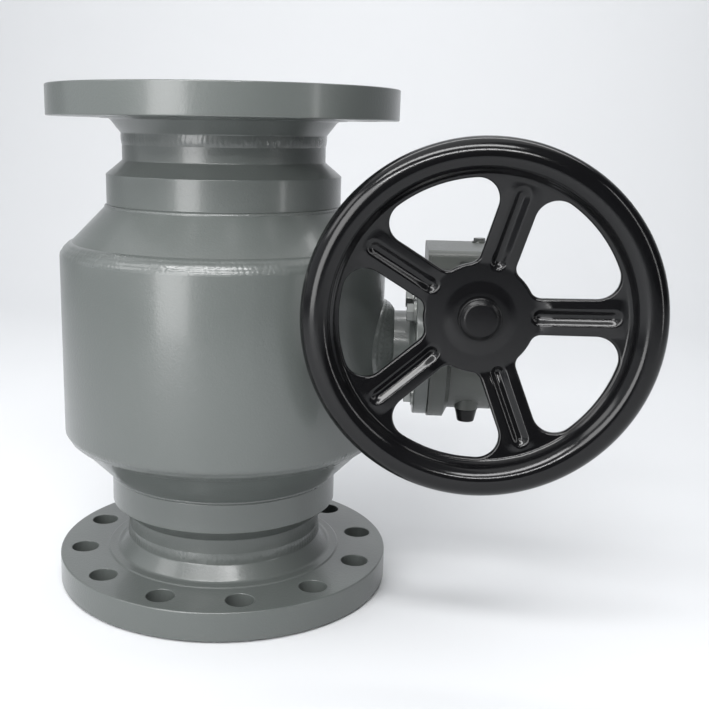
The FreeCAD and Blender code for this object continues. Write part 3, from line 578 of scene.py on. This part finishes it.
def build_end(end):
    """Flange, end tube, cone and their weld beads at one end of the valve."""
    seed = 3.0 if end == "upper" else 0.0
    grooves = []
    for ring in range(FACE_GROOVES):
        inner = BORE_R + 6 * MM + ring * GROOVE_PITCH
        grooves += [(inner, 0, 0), (inner + GROOVE_PITCH / 2, GROOVE_DEPTH, 0)]
    flange = turned(rounded([
        (BORE_R, 0, 1.5 * MM), *grooves, (FACE_R, 0, 0.8 * MM), (FACE_R, FACE_STEP, 0.6 * MM),
        (RIM_R, FACE_STEP, 1.4 * MM), (RIM_R, RIM_TOP, 1.6 * MM),
        (SHOULDER_R + 1.6 * MM, RIM_TOP, 1.4 * MM), (SHOULDER_R, RIM_TOP + SHOULDER_RISE, 1.2 * MM),
        (HUB_FOOT_R + 1.5 * MM, RIM_TOP + SHOULDER_RISE, 5 * MM),
        (PIPE_R + 1.2 * MM, HUB_TOP - 4 * MM, 3 * MM), (PIPE_R, HUB_TOP, 0.4 * MM), (BORE_R, HUB_TOP, 0)]))
    drill(flange, around_axis(BOLTS, BOLT_CIRCLE_R, math.pi / BOLTS), BOLT_HOLE_R, FACE_STEP, RIM_TOP,
          0.8 * MM)
    make_piece(f"{end}_weld_neck_flange", flange, end, "body_paint", stands_for=[f"{end}_flange"])

    bead = lay_bead(ring_rails((PIPE_R + 1.0 * MM, HUB_TOP - 3 * MM), (PIPE_R, TUBE_START + 4.5 * MM)),
                    0.1 * MM, 1, seed=seed)
    make_piece(f"{end}_hub_weld_bead", bead, end, "weld_paint", stands_for=[f"{end}_hub_weld"],
               weighted=False)

    tube = turned(rounded([
        (BORE_R, TUBE_START, 0), (PIPE_R, TUBE_START, 0.3 * MM), (PIPE_R, TUBE_STRAIGHT, 2.5 * MM),
        (RING_R, RING_START, 1.8 * MM), (RING_R, CONE_START, 1.2 * MM), (SLEEVE_R, CONE_START, 0),
        (SLEEVE_R, SLEEVE_END, 0.5 * MM), (POCKET_R, SLEEVE_END, 0.5 * MM),
        (POCKET_R, POCKET_FLOOR, 0.3 * MM), (BORE_R, POCKET_FLOOR, 0.5 * MM)]))
    make_piece(f"{end}_forged_end_tube", tube, end, "body_paint", stands_for=[f"{end}_end_tube"])

    cone = turned(rounded([
        (SLEEVE_R + 0.2 * MM, CONE_START, 0), (RING_R - 0.4 * MM, CONE_START, 0),
        (RING_R + 0.9 * MM, CONE_START + 1.6 * MM, 3 * MM), (CONE_R, CONE_END, 0.4 * MM),
        (CONE_R - CONE_WALL, CONE_END, 0)]))
    make_piece(f"{end}_rolled_cone", cone, end, "body_paint", stands_for=[f"{end}_cone"])

    foot = grown(RING_BEAD, ring_radius=RING_R - RING_BEAD_SINK, height=CONE_START + RING_BEAD_UP,
                 bead_radius=RING_BEAD_R, ripples=RING_BEAD_RIPPLES, ripple_depth=RING_BEAD_DEPTH,
                 roughness=RING_BEAD_GRAIN, seed=6.0 + seed, finish=FINISHES["weld_paint"])
    make_piece(f"{end}_ring_weld_bead", foot, end, "weld_paint", weighted=False)

    girth = lay_bead(ring_rails((CONE_R - 1.2 * MM, CONE_END - 1.2 * MM), (SHELL_R, SHELL_START + 1.2 * MM)),
                     2.3 * MM, 3, seed=12.0 + seed, around=1500)
    make_piece(f"{end}_girth_weld_bead", girth, end, "weld_paint", stands_for=[f"{end}_girth_weld"],
               weighted=False)


def build_shell():
    """The plain middle cylinder, with the hole that the stem neck passes through."""
    far = HEIGHT - SHELL_START
    shell = turned(rounded([(SHELL_R - SHELL_WALL, SHELL_START, 0), (SHELL_R, SHELL_START, 0.6 * MM),
                            (SHELL_R, far, 0.6 * MM), (SHELL_R - SHELL_WALL, far, 0)]), around=256)
    piece = make_piece("rolled_body_shell", shell, "lower", "body_paint", stands_for=["body_shell"])
    rod = bmesh.new()
    bmesh.ops.create_cone(rod, cap_ends=True, segments=96, radius1=NECK_R, radius2=NECK_R, depth=100 * MM,
                          matrix=FRAMES["stem"] @ Matrix.Translation((0, 0, SHELL_R)))
    rod_mesh = bpy.data.meshes.new("neck_cutter")
    rod.to_mesh(rod_mesh)
    rod.free()
    cutter = bpy.data.objects.new("neck_cutter", rod_mesh)
    bpy.context.scene.collection.objects.link(cutter)
    cut = piece.modifiers.new("neck hole", "BOOLEAN")
    cut.object = cutter
    cut.solver = "EXACT"
    piece.modifiers.move(len(piece.modifiers) - 1, 0)
    piece.modifiers.remove(piece.modifiers["flat faces stay flat"])
    made = settled_mesh(piece)
    piece.modifiers.clear()
    piece.data = made
    bpy.data.objects.remove(cutter)


def neck_rails(turn):
    """Rails of the fillet bead where the stem neck meets the round shell, in the stem's frame."""
    c, s = math.cos(turn), math.sin(turn)
    radius = NECK_R
    for _ in range(12):
        across = radius * s
        on_shell = math.sqrt(SHELL_R ** 2 - across ** 2)
        radius = NECK_R + (NECK_FLARE_TOP - on_shell)
    start = Vector((NECK_R * c, NECK_R * s, NECK_FLARE_TOP))
    end = Vector((radius * c, radius * s, on_shell))
    out = Vector((c, s, 1.0)).normalized()
    return start, end, out


def build_neck_welds():
    """The fillet beads at the two ends of the stem neck."""
    fillet = lay_bead(neck_rails, 1.6 * MM, 4, around=360, ripple=0.2 * MM,
                      sink=3 * MM, seed=21.0)
    make_piece("neck_saddle_weld", fillet, "stem", "weld_paint", stands_for=["neck_shell_weld"],
               weighted=False)

    face = low("mounting_plate").x

    def plate_rails(turn):
        c, s = math.cos(turn), math.sin(turn)
        wide = NECK_R + PLATE_LEG
        return (Vector((NECK_R * c, NECK_R * s, face - PLATE_LEG)), Vector((wide * c, wide * s, face)),
                Vector((c, s, -1.0)).normalized())

    ring = lay_bead(plate_rails, 0.6 * MM, 1, around=260, sink=1.5 * MM, seed=27.0)
    make_piece("neck_plate_weld_bead", ring, "stem", "weld_paint", stands_for=["neck_plate_weld"],
               weighted=False)


# ---------------------------------------------------------------- handwheel
SPOKES = 5
FIRST_SPOKE = math.radians(3)
HALF_SECTOR = math.pi / SPOKES
SPOKE_HALF = 17.5 * MM
SPOKE_CROWN, SPOKE_BLEND = 1.7 * MM, 14 * MM
BOSS_R, BOSS_RISE = 31 * MM, 1.1 * MM
PANEL_IN, PANEL_OUT = 40 * MM, 138 * MM
RAMP_START, RAMP_END = 54 * MM, 134 * MM
RIM_PLANE = 176 * MM
RIM_MID = (WHEEL_R + RAMP_END) / 2
RIM_HALF = (WHEEL_R - RAMP_END) / 2
RIM_RISE = WHEEL_FRONT - RIM_PLANE
WINDOW_IN, WINDOW_OUT = 53 * MM, 131.5 * MM
CORNER_OUT, CORNER_IN = 20 * MM, 11 * MM
ROLL_R, ROLL_DROP = 2.6 * MM, 2.2 * MM
CHANNEL_HALF, CHANNEL_FLAT, CHANNEL_DEPTH = 8.0 * MM, 1.6 * MM, 4.6 * MM
CHANNEL_IN, CHANNEL_OUT = 48 * MM, 127 * MM
SHEET = 2.2 * MM
SHAFT_HOLE_R = 9 * MM
RIM_FULLNESS = 0.92
SIDE_STEPS, PANEL_ROWS, ROLL_ROWS = 52, 22, 5
RIM_IN_STEPS, RIM_OUT_STEPS, HUB_STEPS = 12, 14, 8


def soft_ramp(x, width):
    """0 below zero and x above it, with a round bend between."""
    if x <= -width:
        return 0.0
    if x >= width:
        return x
    return (x + width) ** 2 / (4 * width)


def smooth(x):
    """0 to 1 with level ends."""
    x = min(1.0, max(0.0, x))
    return x * x * (3 - 2 * x)


def rim_rise(radius):
    """Height of the half-round rim over its foot, on the side towards the hub."""
    share = (radius - RIM_MID) / RIM_HALF
    return RIM_RISE * (1 - share * share) if abs(share) < 1 else 0.0


def dish(radius):
    """Front face height of the pressed sheet before its channels: hub, ramp, foot of the rim."""
    slope = (RIM_PLANE - HUB_PLANE) / (RAMP_END - RAMP_START)
    lift = slope * (soft_ramp(radius - RAMP_START, 2.5 * MM) - soft_ramp(radius - RAMP_END, 3 * MM))
    boss = BOSS_RISE * smooth((BOSS_R - radius) / (4 * MM))
    rise = 2 * RIM_RISE / RIM_HALF
    return HUB_PLANE + lift + boss + rise * soft_ramp(radius - RAMP_END - 1.0 * MM, 3.2 * MM)


def channel(along, across):
    """Depth of the pressed groove down a spoke's middle, with round ends."""
    middle = min(max(along, CHANNEL_IN + CHANNEL_HALF), CHANNEL_OUT - CHANNEL_HALF)
    away = math.hypot(along - middle, across)
    climb = (away - CHANNEL_FLAT) / (CHANNEL_HALF - CHANNEL_FLAT)
    even = min(1.0, max(0.0, climb))
    return CHANNEL_DEPTH * (1 - 0.65 * even - 0.35 * smooth(climb))


def sheet_height(u, v):
    """Front face height at a point of the wheel's plane."""
    radius = math.hypot(u, v)
    turn = (math.atan2(v, u) - FIRST_SPOKE) % (2 * HALF_SECTOR)
    turn = turn if turn < HALF_SECTOR else turn - 2 * HALF_SECTOR
    along, across = radius * math.cos(turn), radius * math.sin(turn)
    on_spoke = smooth((radius - RAMP_START) / SPOKE_BLEND) * smooth((RAMP_END - radius) / SPOKE_BLEND)
    crown = SPOKE_CROWN * max(0.0, 1 - (across / SPOKE_HALF) ** 2) * on_spoke
    return dish(radius) + crown - channel(along, across)


def arc_points(centre, radius, start, end, count):
    """Points along an arc from one angle to another."""
    turns = [start + (end - start) * i / count for i in range(count + 1)]
    return [(centre[0] + radius * math.cos(turn), centre[1] + radius * math.sin(turn)) for turn in turns]


def resample(points, count):
    """Points evenly spaced along a polyline."""
    lengths = [0.0]
    for a, b in zip(points, points[1:]):
        lengths.append(lengths[-1] + math.dist(a, b))
    even, index = [], 0
    for step in range(count + 1):
        want = lengths[-1] * step / count
        while index < len(points) - 2 and lengths[index + 1] < want:
            index += 1
        span = lengths[index + 1] - lengths[index]
        share = (want - lengths[index]) / span if span else 0.0
        a, b = points[index], points[index + 1]
        even.append((a[0] + (b[0] - a[0]) * share, a[1] + (b[1] - a[1]) * share))
    return even


def corner_centre(radius_from_hub, corner_radius, off):
    """Centre of a corner arc beside a spoke's edge, in (along, off) coordinates of that edge."""
    off += corner_radius
    return math.sqrt(radius_from_hub ** 2 - off ** 2), off


def from_spoke(points):
    """(along, off) points beside the lower spoke's edge, turned into the window's own plane."""
    c, s = math.cos(-HALF_SECTOR), math.sin(-HALF_SECTOR)
    return [(along * c - off * s, along * s + off * c) for along, off in points]


def mirrored(points):
    """The same line on the other side of the +U axis, run backwards."""
    return [(u, -v) for u, v in reversed(points)]


def window_sides(grow, count):
    """The window's four sides, split at the middle of its round corners, each count steps long.

    The window is centred on the +U axis; grow moves the outline out into the metal.
    """
    offset = SPOKE_HALF - grow
    r_in, r_out = WINDOW_IN - grow, WINDOW_OUT + grow
    c_in, c_out = CORNER_IN + grow, CORNER_OUT + grow

    out_at = corner_centre(r_out - c_out, c_out, offset)
    in_at = corner_centre(r_in + c_in, c_in, offset)
    in_hub = math.atan2(in_at[1], in_at[0])
    out_hub = math.atan2(out_at[1], out_at[0])
    in_mid = (in_hub + math.pi + 1.5 * math.pi) / 2
    out_mid = (-0.5 * math.pi + out_hub) / 2
    lower = from_spoke(arc_points(in_at, c_in, in_mid, 1.5 * math.pi, 10)
                       + arc_points(out_at, c_out, -0.5 * math.pi, out_mid, 10))
    out_start = from_spoke(arc_points(out_at, c_out, out_mid, out_hub, 10))
    in_end = from_spoke(arc_points(in_at, c_in, in_hub + math.pi, in_mid, 10))
    out_limit, in_limit = HALF_SECTOR - out_hub, HALF_SECTOR - in_hub
    out_arc = arc_points((0, 0), r_out, -out_limit, out_limit, 40)
    in_arc = arc_points((0, 0), r_in, in_limit, -in_limit, 24)
    outer = out_start + out_arc[1:-1] + mirrored(out_start)
    upper = mirrored(lower)
    inner = mirrored(in_end) + in_arc[1:-1] + in_end
    return [resample(line, count) for line in (lower, outer, upper, inner)]


def panel_sides(count):
    """The sector's own four sides, matched with the window's."""
    low_line = [(r * math.cos(-HALF_SECTOR), r * math.sin(-HALF_SECTOR)) for r in (PANEL_IN, PANEL_OUT)]
    lower = resample(low_line, count)
    outer = arc_points((0, 0), PANEL_OUT, -HALF_SECTOR, HALF_SECTOR, count)
    inner = arc_points((0, 0), PANEL_IN, HALF_SECTOR, -HALF_SECTOR, count)
    return [lower, outer, mirrored(lower), inner]


def closed_loop(sides):
    return [point for side in sides for point in side[:-1]]


def part_way(a, b, share, turn):
    """A point part of the way from a to b, turned about the wheel's centre."""
    x, y = a[0] + (b[0] - a[0]) * share, a[1] + (b[1] - a[1]) * share
    c, s = math.cos(turn), math.sin(turn)
    return x * c - y * s, x * s + y * c


def rim_section():
    """(r, height) points over the half-round rim, from the panel's edge to its outer lip."""
    section = []
    for step in range(1, RIM_IN_STEPS + 1):
        r = PANEL_OUT + (RIM_MID - PANEL_OUT) * step / RIM_IN_STEPS
        section.append((r, level(RIM_PLANE + rim_rise(r))))
    for step in range(1, RIM_OUT_STEPS + 1):
        bend = math.pi / 2 * step / RIM_OUT_STEPS
        rise = RIM_RISE * math.cos(bend) ** RIM_FULLNESS if step < RIM_OUT_STEPS else 0.0
        section.append((RIM_MID + RIM_HALF * math.sin(bend) ** RIM_FULLNESS, level(RIM_PLANE + rise)))
    return section + [(WHEEL_R, level(RIM_PLANE - 3 * MM)),
                      (WHEEL_R - 0.4 * MM, level(RIM_PLANE - 6 * MM))]


def build_handwheel():
    """The pressed-steel wheel: flat hub, dished spokes with channels, rolled windows, half-round rim."""
    bm = bmesh.new()
    outline = closed_loop(panel_sides(SIDE_STEPS))
    flat_edge = closed_loop(window_sides(ROLL_R, SIDE_STEPS))
    opening = closed_loop(window_sides(0.0, SIDE_STEPS))
    for sector in range(SPOKES):
        turn = FIRST_SPOKE + HALF_SECTOR * (2 * sector + 1)
        grid = []
        for row in range(PANEL_ROWS + 1):
            spots = [part_way(a, b, row / PANEL_ROWS, turn) for a, b in zip(outline, flat_edge)]
            grid.append([bm.verts.new((u, v, sheet_height(u, v))) for u, v in spots])
        for row in range(1, ROLL_ROWS + 1):
            bend = math.pi / 2 * row / ROLL_ROWS
            loop = []
            for a, b in zip(flat_edge, opening):
                edge_height = sheet_height(*part_way(a, b, 0.0, turn))
                u, v = part_way(a, b, math.sin(bend), turn)
                loop.append(bm.verts.new((u, v, edge_height - ROLL_R * (1 - math.cos(bend)))))
            grid.append(loop)
        grid.append([bm.verts.new(v.co - Vector((0, 0, ROLL_DROP))) for v in grid[-1]])
        for first, second in zip(grid, grid[1:]):
            join_loops(bm, first, second)

    around = SIDE_STEPS * SPOKES
    rings = [circle_loop(bm, (0, 0), r, height_at, around, FIRST_SPOKE)
             for r, height_at in [(PANEL_OUT, sheet_height), *rim_section()]]
    for first, second in zip(rings, rings[1:]):
        join_loops(bm, second, first)
    hub_rings = []
    for step in range(HUB_STEPS + 1):
        r = PANEL_IN + (SHAFT_HOLE_R - PANEL_IN) * step / HUB_STEPS
        hub_rings.append(circle_loop(bm, (0, 0), r, level(dish(r)), around, FIRST_SPOKE))
    for first, second in zip(hub_rings, hub_rings[1:]):
        join_loops(bm, first, second)
    bmesh.ops.remove_doubles(bm, verts=bm.verts, dist=2e-5)
    bmesh.ops.recalc_face_normals(bm, faces=bm.faces)
    front = sum(face.normal.z * face.calc_area() for face in bm.faces)
    if front < 0:
        bmesh.ops.reverse_faces(bm, faces=bm.faces)
    wheel = make_piece("pressed_handwheel", bm, "worm", "wheel_enamel", body="worm_drive",
                       stands_for=["handwheel"], weighted=False)
    wall = wheel.modifiers.new("sheet", "SOLIDIFY")
    wall.thickness = SHEET
    wall.offset = -1.0


def build_hub_cap():
    """The thin domed cap over the shaft's screw, drawn as a closed (r, z) outline."""
    base = HUB_PLANE
    outline = rounded([
        (0, base + 12.4 * MM, 0), (0, base + 10.4 * MM, 0), (17.6 * MM, base + 8.2 * MM, 1 * MM),
        (18.4 * MM, base + 0.5 * MM, 0), (20.5 * MM, base + 0.5 * MM, 0.3 * MM),
        (20.5 * MM, base + 7.6 * MM, 1.2 * MM),
        (19.2 * MM, base + 8.4 * MM, 0.4 * MM), (18.9 * MM, base + 7.9 * MM, 0.3 * MM),
        (18.5 * MM, base + 8.8 * MM, 0.5 * MM), (15 * MM, base + 11.4 * MM, 6 * MM)])
    make_piece("domed_hub_cap", turned(outline, around=128), "worm", "black_plastic", body="worm_drive",
               stands_for=["hub_cap"])


# ---------------------------------------------------------------- castings and machined pieces
ROUNDED_MM = {"gearbox_case": 1.6, "gearbox_cover": 1.4, "worm_front_cover": 1.0,
              "worm_rear_cover": 1.0, "mounting_plate": 1.0, "cover_bolts": 0.5,
              "plate_bolts": 0.5, "front_cover_screws": 0.4, "rear_cover_screws": 0.4,
              "stop_nuts": 0.5, "stop_caps": 0.8, "grease_plug": 0.4}
CASE_RECESS = 22 * MM
LIP_FROM_TOP = 5.5 * MM
LIP_TALL = 12.5 * MM
LIP_THICK = 2.4 * MM
LIP_MARGIN = 2.5 * MM
SLOT_FROM_RIGHT = (40 * MM, 14 * MM)
SLOT_FROM_TOP = (8.5 * MM, 4.7 * MM)


def round_edges(piece, width, from_angle, miter="MITER_SHARP"):
    """Rounds the edges that turn by more than an angle, before the faces are weighted."""
    edge = piece.modifiers.new("rounded edges", "BEVEL")
    edge.limit_method = "ANGLE"
    edge.angle_limit = math.radians(from_angle)
    edge.width = width
    edge.segments = 3
    edge.miter_outer = miter
    piece.modifiers.move(len(piece.modifiers) - 1, 0)


def soften(node, width):
    """Stands in for a hard-edged casting or screw with the same piece, its edges rounded."""
    source = frame["nodes"][node]
    bm = bmesh.new()
    bm.from_mesh(source.data)
    bm.transform(source.matrix_world)
    bmesh.ops.remove_doubles(bm, verts=bm.verts, dist=2e-6)
    bmesh.ops.dissolve_limit(bm, angle_limit=math.radians(0.5), verts=bm.verts, edges=bm.edges)
    bmesh.ops.recalc_face_normals(bm, faces=bm.faces)
    piece = make_piece(f"{node}_softened", bm, "lower", SLOT_OF[node], stands_for=[node])
    round_edges(piece, width, 34, miter="MITER_ARC")


def rounded_box(x0, x1, y0, y1, radius):
    """Outline of a rectangle with round corners."""
    return rounded([(x0, y0, radius), (x1, y0, radius), (x1, y1, radius), (x0, y1, radius)])


def build_case_lip():
    """The cast strip along the top of the case's front, with its slot."""
    front = -low("gearbox_case").y - CASE_RECESS
    left, right = low("gearbox_case").x - WHEEL_X, high("gearbox_case").x - WHEEL_X
    top = high("gearbox_case").z - WHEEL_Z - LIP_FROM_TOP
    strip = rounded_box(left + LIP_MARGIN, right - LIP_MARGIN, top - LIP_TALL, top, 2 * MM)
    slot = rounded_box(right - SLOT_FROM_RIGHT[0], right - SLOT_FROM_RIGHT[1],
                       top - SLOT_FROM_TOP[0], top - SLOT_FROM_TOP[1], 1.6 * MM)
    bm = bmesh.new()
    loops = []
    for outline in (strip, slot):
        back = [bm.verts.new((x, y, front - 0.5 * MM)) for x, y in outline]
        face = [bm.verts.new((x, y, front + LIP_THICK)) for x, y in outline]
        join_loops(bm, back, face)
        loops.append((back, face))
    for side in (0, 1):
        border = [bm.edges.get((pair[side][i - 1], pair[side][i]))
                  for pair in loops for i in range(len(pair[side]))]
        bmesh.ops.triangle_fill(bm, use_beauty=True, use_dissolve=False, edges=border)
    bmesh.ops.recalc_face_normals(bm, faces=bm.faces)
    lip = make_piece("case_top_lip", bm, "worm", "gearbox_paint")
    round_edges(lip, 0.7 * MM, 40)


for end in ENDS:
    build_end(end)
for node_name, width in ROUNDED_MM.items():
    soften(node_name, width * MM)
build_case_lip()
build_shell()
build_neck_welds()
build_handwheel()
build_hub_cap()


# ---------------------------------------------------------------- studio
# name: where it stands, what it looks at, width, length, watts
LIGHTS = {
    "key_softbox": ((-0.80, -1.77, 0.75), (0.0, 0.0, 0.28), 0.8, 1.5, 26),
    "top_softbox": ((0.1, 0.25, 2.2), (0.3, 0.0, 0.0), 2.8, 2.0, 14),
    "front_strip": ((0.1, -1.9, 1.35), (0.2, 0.0, 0.35), 1.4, 0.1, 18),
    "overhead_strip": ((-0.15, -1.25, 1.95), (0.1, 0.0, 0.35), 1.8, 0.35, 33),
    "left_window": ((-1.6, -0.8, 1.5), (0.0, 0.0, 0.3), 0.7, 0.8, 7),
    "right_strip": ((1.55, -0.75, 0.7), (0.0, 0.0, 0.3), 0.12, 1.3, 3),
    "backdrop_wash": ((0.1, 0.9, 2.6), (0.1, 2.7, 0.6), 4.0, 0.8, 54),
}
LENS = 51.28
SIDE_SHIFT = 0.079
CAMERA_AT = (0.1805, -1.1024, 0.5065)
HEADING, DOWNWARD, ROLL = math.radians(5.0), math.radians(12.58), 0.0171


def area_light(name, place, aim, width, length, power):
    """A soft box that isn't seen itself."""
    data = bpy.data.lights.new(name, "AREA")
    data.shape = "RECTANGLE"
    data.size = width
    data.size_y = length
    data.energy = power
    light = bpy.data.objects.new(name, data)
    bpy.context.scene.collection.objects.link(light)
    light.location = place
    light.rotation_mode = "QUATERNION"
    light.rotation_quaternion = (Vector(aim) - Vector(place)).to_track_quat("-Z", "Y")
    light.visible_camera = False


def build_studio():
    """Pale floor that curves up into a wall behind the valve, and a pale surround."""
    depth_front, depth_back, bend, tall, half_width = -4.0, 1.6, 1.2, 5.0, 9.0
    line = [(depth_front, 0.0), (depth_back, 0.0)]
    for step in range(1, 25):
        turn = math.radians(90 * step / 24)
        line.append((depth_back + bend * math.sin(turn), bend * (1 - math.cos(turn))))
    line.append((depth_back + bend, tall))
    mesh = bpy.data.meshes.new("studio_sweep")
    points = [(side * half_width, y, z) for y, z in line for side in (-1, 1)]
    faces = [(2 * i, 2 * i + 1, 2 * i + 3, 2 * i + 2) for i in range(len(line) - 1)]
    mesh.from_pydata(points, [], faces)
    for face in mesh.polygons:
        face.use_smooth = True
    sweep = bpy.data.objects.new("studio_sweep", mesh)
    bpy.context.scene.collection.objects.link(sweep)
    material, w, shader, place = start_material("pale_floor")
    cloud = w.noise(place, 1.5, detail=2.0)
    tone = w.mix(cloud, (0.62, 0.63, 0.645, 1.0), (0.64, 0.65, 0.665, 1.0))
    w.tree.links.new(tone, shader.inputs["Base Color"])
    shader.inputs["Roughness"].default_value = 0.75
    mesh.materials.append(material)

    world = bpy.data.worlds.new("studio_surround")
    bpy.context.scene.world = world
    world.use_nodes = True
    world.node_tree.nodes.clear()
    w = Wiring(world.node_tree)
    direction = w.add("TexCoord").outputs["Generated"]
    axis = w.add("SeparateXYZ", {0: direction}).outputs
    behind = w.spread(axis["Y"], -0.15, 0.35, 0.0, 0.74)
    overhead = w.spread(axis["Z"], 0.45, 0.85, 0.0, 0.3)
    left = w.spread(axis["X"], -0.3, -0.85, 0.0, 0.85)
    right = w.spread(axis["X"], 0.1, 0.7, 1.0, 0.12)
    glow = w.math("MAXIMUM", w.math("MAXIMUM", behind, left), w.math("ADD", overhead, 0.07))
    glow = w.math("MULTIPLY", glow, right)
    background = w.add("Background", {"Color": (0.93, 0.96, 1.0, 1.0), "Strength": glow})
    output = w.add("OutputWorld")
    world.node_tree.links.new(background.outputs[0], output.inputs[0])


def build_camera():
    """The view from the front, a little above the handwheel and looking slightly down."""
    data = bpy.data.cameras.new("camera")
    data.sensor_width = 36.0
    data.lens = LENS
    data.shift_x = SIDE_SHIFT
    data.clip_end = 50.0
    camera = bpy.data.objects.new("camera", data)
    bpy.context.scene.collection.objects.link(camera)
    camera.location = CAMERA_AT
    turn = Matrix.Rotation(HEADING, 4, "Z") @ Matrix.Rotation(math.pi / 2 - DOWNWARD, 4, "X")
    camera.rotation_euler = (turn @ Matrix.Rotation(ROLL, 4, "Z")).to_euler()
    bpy.context.scene.camera = camera


build_studio()
for light_name, setting in LIGHTS.items():
    area_light(light_name, *setting)
build_camera()
bpy.context.scene.view_settings.view_transform = "Standard"
